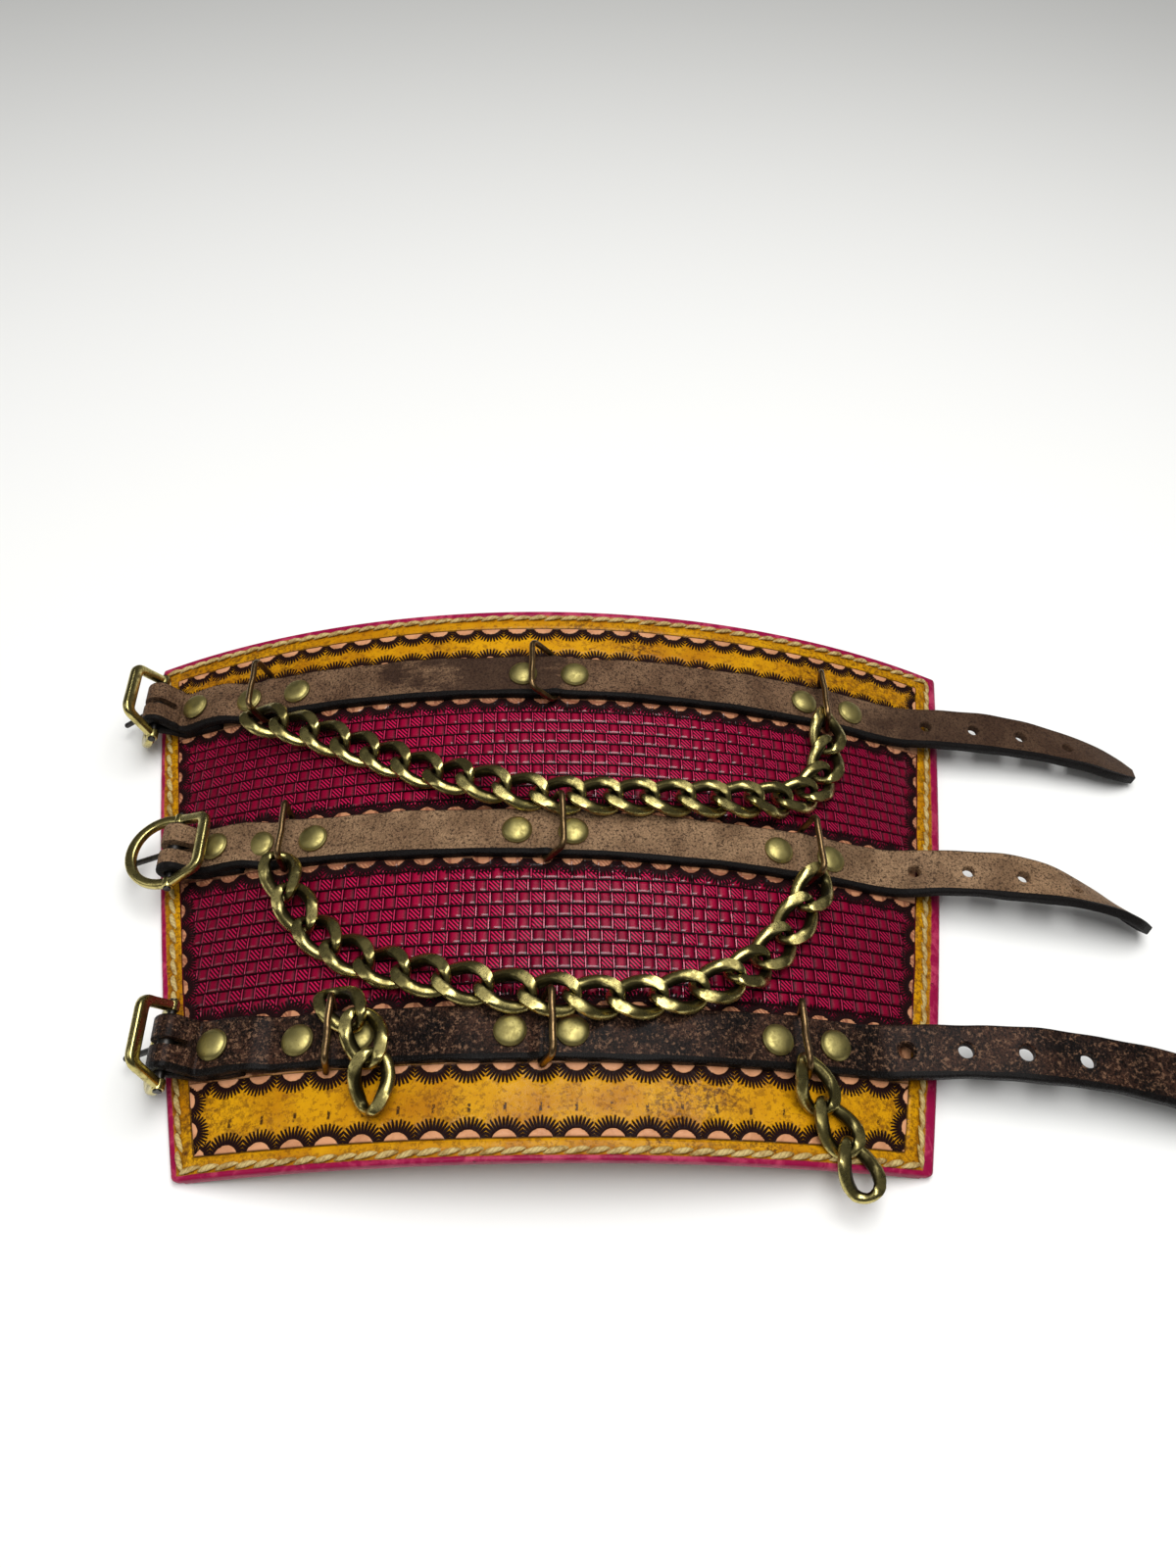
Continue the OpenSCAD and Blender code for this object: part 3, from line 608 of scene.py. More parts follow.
def bordered(g, field, ochre, across_border, inwards, bare, blot, nick):
    """Tooled lines, the bare strips beside the straps, the ochre band and the dyed rim, round the field."""
    line = ramp(absolute(across_border - LINE_AT), 0.07, 0.025)
    edge_line = ramp(absolute(inwards), 0.28, 0.08)
    base = blend_colour(g, most(line, edge_line) * 0.72, field, INK)
    strip = blend_colour(g, ramp(blot, 0.46, 0.62), TAN, colour(112, 70, 48))
    base = blend_colour(g, bare, base, strip)
    groove = ramp(absolute(across_border - GROOVE_AT), 0.34, 0.14) * 0.35
    band = blend_colour(g, groove, ochre, colour(130, 70, 20))
    base = blend_colour(g, below(across_border, 1.93), base, band)
    rim = blend_colour(g, ramp(blot, 0.46, 0.64), FUCHSIA, colour(176, 56, 88))
    rim = blend_colour(g, ramp(nick, 0.63, 0.70), rim, colour(46, 16, 26))
    return (blend_colour(g, ramp(across_border + (blot - 0.5) * 0.25, 1.10, 1.0), base, rim),)


BORDERS = effect("tooled borders", {"Field": "colour", "Ochre": "colour", "Border": "value", "Inwards": "value",
                                    "Bare": "value", "Blot": "value", "Nick": "value"},
                 {"Colour": "colour"}, bordered)


def crimson_dye(t, weave, across, cloud, blot):
    """Crimson over the basket stamps: pink on hatched cells, wine in the grooves, painted shade on the sloping
    sides of the plain cells, a painted highlight on the ribs, and darker down the sides.
    """
    red = blend_colour(t, ramp(cloud, 0.35, 0.68), CRIMSON, colour(120, 2, 38))
    red = blend_colour(t, weave["hatched"] * weave["face"] * 0.9, red, PINK)
    red = blend_colour(t, weave["trench"] * 0.97, red, colour(26, 1, 8))
    # Painted shade: the sloping sides of the plain cells are painted darker
    red = blend_colour(t, weave["hollow"] * 0.92, red, colour(34, 2, 12))
    red = blend_colour(t, (1.0 - weave["face"]) * 0.98, red, WINE)
    # Painted highlight: the thin ribs between the cells are painted light pink, as where they catch the light
    red = blend_colour(t, weave["rib"] * 0.85, red, colour(214, 48, 96))
    red = blend_colour(t, ramp(blot, 0.60, 0.75) * 0.35, red, colour(80, 6, 34))
    return blend_colour(t, ramp(absolute(across), 35, 118) * 0.42, red, colour(44, 1, 12))


def tooled_leather(name, ground):
    """Dyed and stamped leather; ground is 'ochre' or 'weave' for the field inside the borders."""
    m, t, p = new_material(name)
    place = object_place(t)
    s, y = uv_pair(t, "Run")
    u, v = uv_pair(t, "Stamp")
    border, _ = uv_pair(t, "Border")
    pitch = attribute(t, "pitch")
    cloud, grain, blot, nick, grain_height = placed(t, HIDE_GRAIN, place)
    yellow, dull = placed(t, OCHRE_DYE, place, s, cloud, blot, nick)
    disc, ink = placed(t, FAN_STAMPS, u, v, pitch)
    half = blend_colour(t, ramp(blot, 0.40, 0.66) * 0.8, TAN, colour(176, 120, 84))
    half = blend_colour(t, ramp(nick, 0.66, 0.74), half, colour(110, 62, 44))
    cut = ink * -0.34
    if ground == "ochre":
        from_middle = absolute(fract(u / pitch) - 0.5) * pitch
        on_near_row = ramp(absolute(pitch - NEAR_PITCH), 0.1, 0.05)
        tick = ramp(from_middle, 0.55, 0.25) * ramp(absolute(v - TICK_IN), 1.5, 0.9) * on_near_row
        inner = blend_colour(t, tick * ramp(grain, 0.40, 0.52) * 0.9, yellow, INK)
        sheen = ramp(grain, 0.3, 0.7) * 0.16
    else:
        weave = basket(s, y)
        on_field = ramp(v, WEAVE_IN, WEAVE_IN + 0.6)
        inner = blend_colour(t, on_field, colour(112, 4, 38), crimson_dye(t, weave, s, cloud, blot))
        half = blend_colour(t, most(1.0 - weave["face"], weave["trench"]) * 0.6, half, colour(96, 44, 32))
        # Discs in the weave fields painted darker: partly stain, partly painted shadow of the straps beside them
        half = blend_colour(t, 0.25, half, colour(130, 70, 52))
        sheen = most(weave["rib"], weave["lip"]) * 0.9 + weave["face"] * 0.06
        cut = cut + (weave["height"] - weave["trench"] * 0.22) * on_field
    base = blend_colour(t, disc, inner, half)
    base = blend_colour(t, ink * ramp(grain, 0.16, 0.30), base, INK)
    base, = placed(t, BORDERS, base, yellow, border, v, attribute(t, "tan"), blot, nick)
    put(t, base, p.inputs["Base Color"])
    p.inputs["Specular IOR Level"].default_value = 0.08
    put(t, 0.30 + grain * 0.16 + dull * 0.16 + disc * 0.22 + ink * 0.3, p.inputs["Roughness"])
    put(t, sheen * (1.0 - ink * 0.8), p.inputs["Coat Weight"])
    p.inputs["Coat Roughness"].default_value = 0.10
    normal = bumps(t, grain_height, 0.10, 0.7)
    put(t, bumps(t, cut, 0.8, 1.0, normal), p.inputs["Normal"])
    return m


def thread():
    """Waxed cream thread, twisted, with painted shade in the crevices between its plies."""
    m, t, p = new_material("waxed thread")
    place = object_place(t)
    u, v = uv_pair(t, "Run")
    ply = sine((u * 1.9 + v * 1.1) * 2.2) * 0.5 + 0.5
    dirt = noise(t, place, 3.4, 4.0, 0.7)
    base = blend_colour(t, ramp(dirt, 0.42, 0.66), colour(200, 176, 112), colour(150, 116, 52))
    # Painted shade: the crevices between the plies are painted darker
    base = blend_colour(t, ramp(ply, 0.30, 0.02) * 0.35, base, colour(92, 66, 30))
    put(t, base, p.inputs["Base Color"])
    p.inputs["Roughness"].default_value = 0.62
    put(t, bumps(t, ply, 0.16, 0.6), p.inputs["Normal"])
    return m


def strap_hide(g, place, across, face, worn, dark, edge, crackle, stain):
    """Brushed or crackled grain with pores, creases, dark stains that are partly painted shadow, and burnished
    edges.
    """
    cloud = noise(g, place, 13, 4.0, 0.65)
    fine = noise(g, place, 0.75, 4.0, 0.7)
    streak = noise(g, stretched(g, place, (0.28, 1.0, 1.0)), 2.4, 4.0, 0.7)
    pores = cells(g, place, 0.9)
    crease = cells(g, stretched(g, place, (1.0, 0.4, 1.0)), 1.15)
    creases = ramp(crease, 0.12, 0.0) * ramp(cloud, 0.36, 0.56)
    pebble = noise(g, place, 1.5, 5.0, 0.8)
    wrinkle = noise(g, stretched(g, place, (1.0, 0.22, 1.0)), 1.1, 3.0, 0.6)
    base = blend_colour(g, ramp(cloud, 0.34, 0.68), face, worn)
    base = blend_colour(g, ramp(fine, 0.50, 0.60) * 0.85, base, dark)
    base = blend_colour(g, ramp(streak, 0.60, 0.74) * 0.55, base, dark)
    base = blend_colour(g, ramp(pores, 0.10, 0.0) * 0.5, base, dark)
    base = blend_colour(g, ramp(pebble, 0.56, 0.64) * 0.55, base, dark)
    base = blend_colour(g, creases * crackle * 0.4, base, dark)
    base = blend_colour(g, ramp(pebble, 0.47, 0.38) * crackle * 0.9, base, colour(132, 98, 74))
    split = g.nodes.new("ShaderNodeSeparateXYZ")
    g.links.new(place.socket, split.inputs[0])
    x = Val(g, split.outputs["X"]) * 1000.0 + (cloud - 0.5) * 70.0 + (streak - 0.5) * 60.0
    # Dark patches along the strap: partly stain, partly painted shadow
    stain_and_shadow = most(ramp(absolute(x + 48.0), 34, 14), ramp(x, 52, 92) * 0.85)
    base = blend_colour(g, stain_and_shadow * stain, base, colour(48, 31, 23))
    rim = ramp(absolute(across), 6.95, 7.45)
    base = blend_colour(g, rim * 0.75, base, edge)
    base = blend_colour(g, ramp(absolute(across), 7.5, 7.62), base, edge)
    height = fine * 0.5 + ramp(pores, 0.0, 0.25) * 0.35 + streak * 0.4 + pebble * 0.7
    height = height + wrinkle * crackle * 1.1 - creases * crackle * 0.5
    return base, fine, rim, height


STRAP_HIDE = effect("strap hide", {"Place": "vector", "Across": "value", "Face": "colour", "Worn": "colour",
                                   "Dark": "colour", "Edge": "colour", "Crackle": "value", "Stain": "value"},
                    {"Colour": "colour", "Fine": "value", "Rim": "value", "Height": "value"}, strap_hide)


def strap_leather(name, face, worn, dark, gloss, crackle=0.35, stain=0.0):
    """Strap leather from its three colours, how rough it is, and its share of crackle and of dark stain, which is
    partly painted shadow.
    """
    m, t, p = new_material(name)
    _, across = uv_pair(t, "Run")
    base, fine, rim, height = placed(t, STRAP_HIDE, object_place(t), across, colour(*face), colour(*worn),
                                     colour(*dark), colour(16, 13, 12), crackle, stain)
    put(t, base, p.inputs["Base Color"])
    p.inputs["Specular IOR Level"].default_value = 0.12
    p.inputs["Coat Weight"].default_value = 0.07 * crackle
    p.inputs["Coat Roughness"].default_value = 0.26
    put(t, fine * 0.2 + gloss - rim * 0.12, p.inputs["Roughness"])
    put(t, bumps(t, height, 0.24 + crackle * 0.3, 1.0), p.inputs["Normal"])
    return m


def aged_metal(g, place, patina_and_shade, bright, tarnish, pitted, stain, pits, polish):
    """Metal gone dull in clouds, with small dark pits and a deep patina where nothing rubs; on the chain links
    this mask is partly painted shade on their inner sides.
    """
    cloud = noise(g, place, 5.0, 4.0, 0.65, 0.4)
    fine = noise(g, place, 0.9, 3.0, 0.65)
    pit = cells(g, place, 1.6, "F1")
    worn = ramp(cloud + (fine - 0.5) * 0.35, 0.42, 0.66)
    base = blend_colour(g, worn * stain, bright, tarnish)
    base = blend_colour(g, ramp(pit, 0.20, 0.05) * pits, base, pitted)
    # The links' inner sides come out dark here: partly patina, partly painted shade
    deep = ramp(patina_and_shade + (cloud - 0.5) * 0.45, 0.05, 0.65)
    base = blend_colour(g, deep * 0.92, base, colour(24, 20, 12))
    rough = worn * 0.16 + polish + fine * 0.08 + deep * 0.15
    return base, rough, fine * 0.6 + ramp(pit, 0.0, 0.2) * 0.5 * pits


AGED_METAL = effect("aged metal", {"Place": "vector", "Patina and shade": "value", "Bright": "colour",
                                   "Tarnish": "colour", "Pitted": "colour", "Stain": "value", "Pits": "value",
                                   "Polish": "value"},
                    {"Colour": "colour", "Roughness": "value", "Height": "value"}, aged_metal)


def metal(name, bright, tarnish, polish, stain=0.5, pits=0.5):
    """Metal from its bright and tarnished colours, its polish and its shares of stain and pits."""
    m, t, p = new_material(name)
    base, rough, height = placed(t, AGED_METAL, object_place(t), attribute(t, "patina_and_shade"), colour(*bright),
                                 colour(*tarnish), colour(*[c * 0.45 for c in tarnish]), stain, pits, polish)
    put(t, base, p.inputs["Base Color"])
    p.inputs["Metallic"].default_value = 1.0
    put(t, rough, p.inputs["Roughness"])
    put(t, bumps(t, height, 0.06, 0.6), p.inputs["Normal"])
    return m


def lining_leather():
    """Lining: dyed cut edge, plain smooth leather inside."""
    m, t, p = new_material("lining leather")
    place = object_place(t)
    cloud = noise(t, place, 15, 4.0, 0.6)
    fine = noise(t, place, 1.0, 4.0, 0.7)
    g = t.nodes.new("ShaderNodeNewGeometry")
    split = t.nodes.new("ShaderNodeSeparateXYZ")
    t.links.new(g.outputs["Normal"], split.inputs[0])
    facing = absolute(Val(t, split.outputs["Z"]))
    inside = blend_colour(t, ramp(cloud, 0.35, 0.68), colour(178, 128, 92), colour(150, 100, 68))
    inside = blend_colour(t, ramp(fine, 0.5, 0.68) * 0.4, inside, colour(110, 70, 46))
    paint = blend_colour(t, ramp(cloud, 0.4, 0.64), colour(140, 16, 64), colour(168, 50, 86))
    paint = blend_colour(t, ramp(fine, 0.58, 0.68) * 0.8, paint, colour(40, 14, 24))
    put(t, blend_colour(t, ramp(facing, 0.5, 0.56), paint, inside), p.inputs["Base Color"])
    p.inputs["Roughness"].default_value = 0.55
    put(t, bumps(t, fine, 0.12, 0.6), p.inputs["Normal"])
    return m


OCHRE_FIELD = tooled_leather("ochre tooled leather", "ochre")
WEAVE_FIELD = tooled_leather("crimson basketweave leather", "weave")
THREAD = thread()
WRIST_STRAP = strap_leather("dark oiled strap", (74, 47, 34), (26, 18, 16), (8, 6, 5), 0.32, crackle=1.0)
STRAP = strap_leather("taupe brushed strap", (160, 128, 96), (122, 94, 68), (58, 41, 29), 0.60)
# This strap's dark patches are partly stain and partly painted shadow
OLD_STRAP = strap_leather("worn brushed strap", (132, 102, 76), (94, 68, 48), (44, 30, 22), 0.56, stain=0.8)
BRASS = metal("antiqued brass", (196, 182, 116), (92, 82, 44), 0.20, 0.7)
CAP_BRASS = metal("satin brass", (168, 156, 98), (122, 112, 66), 0.40, 0.5, 0.3)
BRONZE = metal("bronze wire", (138, 112, 76), (62, 46, 32), 0.26, 0.7)
IRON = metal("black iron", (64, 62, 60), (30, 28, 27), 0.34, 0.7)
LINING = lining_leather()

# Tooled panel: columns of its mesh, and the step of its rows, finer by the rounded ends
COLUMNS = 404
ROW_STEP, END_STEP, END_ZONE = 0.53, 0.18, 2.4


def across_marks():
    """Shares of the way from the left edge to the right, closer together at the two edges."""
    t = np.linspace(-1, 1, COLUMNS + 1)
    return t * 0.97 + 0.03 * np.sign(t) * np.abs(t) ** 9


def panel_piece(name, y_from, y_to, material, replaces=()):
    """A stretch of the panel, its face raised and cut by the tooling, its back plain."""
    t = across_marks()
    y = [y_from]
    while y[-1] < y_to - 0.3:
        near_end = min(y[-1], PANEL_L - y[-1])
        y.append(min(y_to, y[-1] + (END_STEP if near_end < END_ZONE else ROW_STEP)))
    y[-1] = y_to
    y = np.array(y)
    rows, cols = len(y), len(t)
    bm = bmesh.new()
    bmesh.ops.create_grid(bm, x_segments=cols - 1, y_segments=rows - 1, size=0.5)
    bmesh.ops.extrude_face_region(bm, geom=bm.faces[:])
    bmesh.ops.recalc_face_normals(bm, faces=bm.faces)
    me = bpy.data.meshes.new(name)
    bm.to_mesh(me)
    bm.free()
    flat = read(me.vertices, "co", 3)
    col = np.rint((flat[:, 0] + 0.5) * (cols - 1)).astype(int)
    row = np.rint((flat[:, 1] + 0.5) * (rows - 1)).astype(int)
    count = rows * cols
    top = np.arange(len(flat)) >= count
    yy = y[row]
    ss = t[col] * side_line(yy)
    h = np.where(top, relief(name, ss, yy), SEAT - HIDE_T)
    me.vertices.foreach_set("co", on_face(ss, yy, h).astype(np.float32).ravel())
    # The shaped mesh is checked again, so that its faces point outwards
    me.update()
    bm = bmesh.new()
    bm.from_mesh(me)
    bmesh.ops.recalc_face_normals(bm, faces=bm.faces)
    bm.to_mesh(me)
    bm.free()
    # Coordinates for the stamping: taken for each face at its middle, so that a face lies in one stamp row
    loops = whole(me.loops, "vertex_index")
    start = whole(me.polygons, "loop_start")
    total = whole(me.polygons, "loop_total")
    face_of = np.repeat(np.arange(len(start)), total)
    mid_s = np.add.reduceat(ss[loops], start) / total
    mid_y = np.add.reduceat(yy[loops], start) / total
    d_mid = field_distances(name, mid_s, mid_y)
    which = np.argmin([d_mid[k] for k in SIDES], 0)[face_of]
    ls, ly = ss[loops], yy[loops]
    d = field_distances(name, ls, ly)
    stamp_v = np.choose(which, [d[k] for k in SIDES])
    stamp_u = np.choose(which, [run_along(k, ls, ly) for k in SIDES])
    pitch = np.choose(which, [np.full(len(ls), pitch_of(name, k)) for k in SIDES])
    e = edge_distances(ls, ly)
    q = np.min([rim_measure(e[k], k) for k in SIDES], 0)
    q = np.where(~top[loops], 0.0, q)
    add_uv(me, "Run", np.stack([ls, ly], -1))
    add_uv(me, "Stamp", np.stack([stamp_u, stamp_v], -1))
    add_uv(me, "Border", np.stack([q, ls], -1))
    add_value(me, "pitch", pitch)
    bare = np.clip(-stamp_v / 0.3, 0, 1) * (q > 2.0)
    add_value(me, "tan", bare)
    finish_piece(name, me, "bracer", "panel", [material], 60, replaces)


for name, start, end in zip(FIELDS, SPLITS, SPLITS[1:]):
    panel_piece(name, start, end, WEAVE_FIELD if "weave" in name else OCHRE_FIELD,
                ("tooled_panel",) if name == "near_field" else ())

# Stitching
STITCH = 5.35
STITCH_IN = 1.4
STITCH_RINGS, STITCH_SIDES, STITCH_W, STITCH_H = 7, 8, 0.84, 0.60


def stitch_line():
    """The four runs of stitches as (s, y) ends, a little inside the dyed rim."""
    inset = {k: RIM[k] + STITCH_IN for k in SIDES}
    y0, y1 = inset["near"], PANEL_L - inset["far"]

    def side(k, y):
        return (1 if k == "right" else -1) * (side_line(y, False) - inset[k] / math.cos(SLANT))

    a, b = (side("left", y0), y0), (side("right", y0), y0)
    c, d = (side("right", y1), y1), (side("left", y1), y1)
    return [(a, b), (b, c), (c, d), (d, a)]


def stitches():
    """Separate slanted stitches, each a little unlike the next."""
    rng = np.random.default_rng(7)
    made = []
    for start, end in stitch_line():
        start, end = np.array(start, float), np.array(end, float)
        length = np.linalg.norm(end - start)
        way = (end - start) / length
        inward = np.array([-way[1], way[0]])
        count = int(round(length / STITCH))
        step = length / count
        t = np.linspace(-1, 1, STITCH_RINGS)
        for k in range(count):
            middle = start + way * step * (k + 0.5)
            long = step * 0.60 * rng.uniform(0.94, 1.04)
            lean = 0.20 + rng.normal(0, 0.03)
            wander = rng.normal(0, 0.10)
            along = t * long
            aside = t * long * lean + wander
            height = 0.30 - 0.75 * np.abs(t) ** 3.2 + 0.12 * t
            thick = (1 - np.abs(t) ** 2.0 * 0.70) * rng.uniform(0.94, 1.06)
            shape = superellipse(STITCH_SIDES, 1, 1, 0.9)
            rings = np.zeros((STITCH_RINGS, STITCH_SIDES, 3))
            for j in range(STITCH_RINGS):
                place = middle + way * along[j] + inward * (aside[j] + shape[:, :1] * STITCH_W * thick[j])
                rings[j] = on_face(place[:, 0], place[:, 1], height[j] + shape[:, 1] * STITCH_H * thick[j])
            made.append(sweep(rings, u=along + k * 7.3, v=np.arange(STITCH_SIDES + 1) * 0.75))
    finish_piece("edge_stitching", joined(made), "bracer", "panel", [THREAD], 70)


stitches()

# Straps
STRAPS = ("wrist", "middle", "elbow")
SHIFT, SLOPE = (0.0, 1.6, 0.2), (-0.008, -0.03, -0.016)
FOLD_MORE, FOLD_RISE = (0.0, 3.9, -0.6), (12, -1, 9)
FOLD_IN, FOLD_END, FOLD_RUN, TAIL_LEAVE = 17.4, 7.5, 13.6, 28.0
BAR_R = 1.2
PAIR_X = ((-61, -4.5, 67.2), (-80.3, -3.6, 74.2), (-92.2, -2.5, 89.6))
RING_X = ((-61, -4.5, 67.2), (-80.3, -3.6, 74.2), (-94, -0.6, 89.6))
TAIL_STEPS, TAIL_FIRST = (26, 22, 23), (4, 4, 5)
TAIL_LEVEL, TAIL_DROOP = (6, 7, -1), (-9, -24, -15)
TAIL_DRIFT, TAIL_ROLL = (-18, -22, -18), (0, 56, 26)
HOLE_SEEN_R, HOLES = (2.2, 1.8, 1.8), 4
SLOT_HALF, SLOT_REACH = (1.1, 1.5, 1.1), (4.6, 5.4, 4.6)
LAYER = STRAP_T + SEAT
TAIL_STEP = 16.5 / 4
BAR_LIFT, BAR_RAMP, TOP_LIFT = 2 * WIRE_R + 0.35, 3.6, 0.7


def strap_y(i, x=0.0):
    """The middle line of a strap."""
    return 33.2 + 60.5 * i + SHIFT[i] + SLOPE[i] * x


def edge_x(y):
    """Half the panel's width on the floor."""
    floor_z = WRIST_Z + (ELBOW_Z - WRIST_Z) * y / PANEL_L
    return ARCH_R * math.sin(math.acos((floor_z + ARCH_R) / INNER_R))


def smooth(t):
    t = min(1.0, max(0.0, t))
    return t * t * (3 - 2 * t)


def face_n(x):
    """The way out of the face."""
    a = math.asin(x / ARCH_R)
    return np.array([math.sin(a), 0, math.cos(a)])


def face_p(x, y):
    """A place on the face."""
    return np.array([x, y, ARCH_R * math.cos(math.asin(x / ARCH_R)) - ARCH_R])


def arch_to_floor(p):
    p = np.asarray(p, float)
    return on_floor(p[..., 0], p[..., 1], p[..., 2])


def at_face(x, y, h, local):
    """Places given beside a point of the face, h above it, as places on the floor."""
    n = face_n(x)
    ex = np.array([n[2], 0, -n[0]])
    local = np.asarray(local, float)
    beside = local[..., :1] * ex + local[..., 1:2] * [0, 1, 0] + local[..., 2:] * n
    return arch_to_floor(face_p(x, y) + h * n + beside)


def fold_x(i):
    return FOLD_IN + FOLD_MORE[i] - edge_x(strap_y(i))


def rivet_x(i):
    return [fold_x(i)] + [x + d * 8.2 for x in PAIR_X[i] for d in (-1, 1)]


def fold_parts(i):
    """Bar, where the layers leave the leather, and the way from there to the bar with its normal."""
    y = strap_y(i, fold_x(i))
    rise = math.radians(FOLD_RISE[i])

    def between(x):
        return face_p(x, y) + (SEAT + LAYER) * face_n(x)

    bar = between(fold_x(i)) + FOLD_RUN * np.array([-math.cos(rise), 0, math.sin(rise)])
    leave_x = fold_x(i) - CAP_R - 0.3
    leave = between(leave_x)
    way = unit(bar - leave)
    return bar, leave_x, leave, way, np.array([way[2], 0, -way[0]]), float(np.linalg.norm(bar - leave))


def section(p, n, across, half_w, lo, hi):
    """The strap's four corners at a place."""
    p, n, across = (np.asarray(v, float) for v in (p, n, across))
    return np.array([p - half_w * across + lo * n, p + half_w * across + lo * n,
                     p + half_w * across + hi * n, p - half_w * across + hi * n])


def strap_sections(i):
    """Sections from the rivets under the strap, round the bar, over the panel and out to the tail's tip.

    The places and directions of the tail's holes come with them."""
    across = np.array([0.0, 1.0, 0.0])
    half = STRAP_W / 2
    fx = fold_x(i)
    fy = strap_y(i, fx)
    bar, leave_x, leave, way, normal, leg = fold_parts(i)
    leave_run = CAP_R + 0.3

    def under(x):
        return section(face_p(x, fy), -face_n(x), across, half, -SEAT - STRAP_T, -SEAT)

    def leg_at(s, up):
        gap = SEAT / 2 + (BAR_R + 0.3 - SEAT / 2) * smooth((s - 3.4) / (leg - 3.4))
        return section(leave + s * way, up * normal, across, half, gap, gap + STRAP_T)

    def turn(a):
        a = math.radians(a)
        return section(bar, (math.cos(a), 0, math.sin(a)), across, half, BAR_R + 0.3, BAR_R + 0.3 + STRAP_T)

    def on_panel(x):
        over = LAYER * (1 - smooth((x - fx - FOLD_END - 0.5) / 9))
        lift = sum(math.cos(math.pi / 2 * (x - r) / BAR_RAMP) ** 2 for r in RING_X[i] if abs(x - r) < BAR_RAMP)
        return section(face_p(x, strap_y(i, x)), face_n(x), across, half,
                       SEAT + over + BAR_LIFT * lift, SEAT + over + STRAP_T + TOP_LIFT * lift)

    out = [under(x) for x in np.linspace(fx + FOLD_END, leave_x, 6)]
    out += [leg_at(s, -1) for s in np.linspace(3.4, leg - 1.5, 4)]
    rise = math.degrees(math.atan2(way[2], -way[0]))
    out += [turn(a - rise) for a in np.linspace(270, 90, 13)]
    out += [leg_at(s, 1) for s in np.linspace(leg - 1.5, 3.4, 4)]
    out.append(section(face_p(leave_x, fy), face_n(leave_x), across, half,
                       SEAT + LAYER, SEAT + LAYER + STRAP_T))
    tail_x = edge_x(strap_y(i)) - TAIL_LEAVE
    marks = list(np.arange(fx + leave_run, tail_x - 0.6, 1.4))
    out += [on_panel(x) for x in marks]
    length = TAIL_STEPS[i] * TAIL_STEP

    def heading(k):
        s = k * TAIL_STEP
        start = -math.degrees(math.asin(tail_x / ARCH_R))
        if s < 20:
            a = start + (TAIL_LEVEL[i] - start) * smooth(s / 20)
        else:
            a = TAIL_LEVEL[i] + (TAIL_DROOP[i] - TAIL_LEVEL[i]) * ((s - 20) / (length - 20)) ** 1.6
        b = 2 * TAIL_DRIFT[i] / length * max(0.0, min(1.0, (s - 12) / (length - 12))) ** 1.2
        a = math.radians(a)
        return np.array([math.cos(a) * math.cos(b), math.cos(a) * math.sin(b), math.sin(a)])

    def frame_at(k):
        w = heading(k)
        q = unit(np.array([-w[1], w[0], 0]))
        r = math.radians(TAIL_ROLL[i] * smooth((k * TAIL_STEP - 0.45 * length) / (0.55 * length)))
        side = q * math.cos(r) - unit(np.cross(w, q)) * math.sin(r)
        return side, unit(np.cross(w, side))

    tip = (0.42, 0.78, 0.94)
    p = face_p(tail_x, strap_y(i, tail_x))
    holes = []
    for k in range(TAIL_STEPS[i] + 1):
        if k:
            p = p + TAIL_STEP * heading(k - 0.5)
        side, n = frame_at(k)
        left = TAIL_STEPS[i] - k
        out.append(section(p, n, side, half * (tip[left] if left < 3 else 1), SEAT, SEAT + STRAP_T))
        if k in [TAIL_FIRST[i] + 4 * j for j in range(HOLES)]:
            holes.append((p, n))
    return np.array(out), holes


def smooth_run(sections, step):
    """The sections, run through smoothly and taken again every so many millimetres."""
    middle = sections.mean(1)
    knots = np.concatenate([[0], np.cumsum(np.linalg.norm(np.diff(middle, axis=0), axis=1))])
    slopes = np.gradient(sections.reshape(len(knots), -1), knots, axis=0)
    at = np.linspace(0, knots[-1], int(knots[-1] / step))
    k = np.clip(np.searchsorted(knots, at, "right") - 1, 0, len(knots) - 2)
    span = (knots[k + 1] - knots[k])[:, None]
    t = ((at - knots[k])[:, None]) / span
    flat = sections.reshape(len(knots), -1)
    out = ((2 * t ** 3 - 3 * t ** 2 + 1) * flat[k] + (t ** 3 - 2 * t ** 2 + t) * span * slopes[k]
           + (3 * t ** 2 - 2 * t ** 3) * flat[k + 1] + (t ** 3 - t ** 2) * span * slopes[k + 1])
    return out.reshape(len(at), 4, 3), at


def strap_profile():
    """Round the section: share across (-1 to 1), share of the thickness (0 to 1) and the run round it."""
    r = 0.75
    a, b = STRAP_W / 2, STRAP_T / 2
    turn = np.radians(np.array([0, 22.5, 45, 67.5, 90]))
    pts = []
    for sx, sz, start in ((1, 1, 90), (1, -1, 0), (-1, -1, -90), (-1, 1, -180)):
        for t in turn:
            w = math.radians(start) - t
            pts.append((sx * (a - r) + r * math.cos(w), sz * (b - r) + r * math.sin(w)))
    top = [(x, b) for x in np.linspace(-(a - r), a - r, 15)[1:-1]]
    under = [(x, -b) for x in np.linspace(a - r, -(a - r), 7)[1:-1]]
    pts = top + pts[:10] + under + pts[10:]
    pts = np.array(pts)
    run = np.concatenate([[0], np.cumsum(np.linalg.norm(np.diff(np.vstack([pts, pts[:1]]), axis=0), axis=1))])
    return pts[:, 0] / a, (pts[:, 1] / b + 1) / 2, run + pts[0, 0]


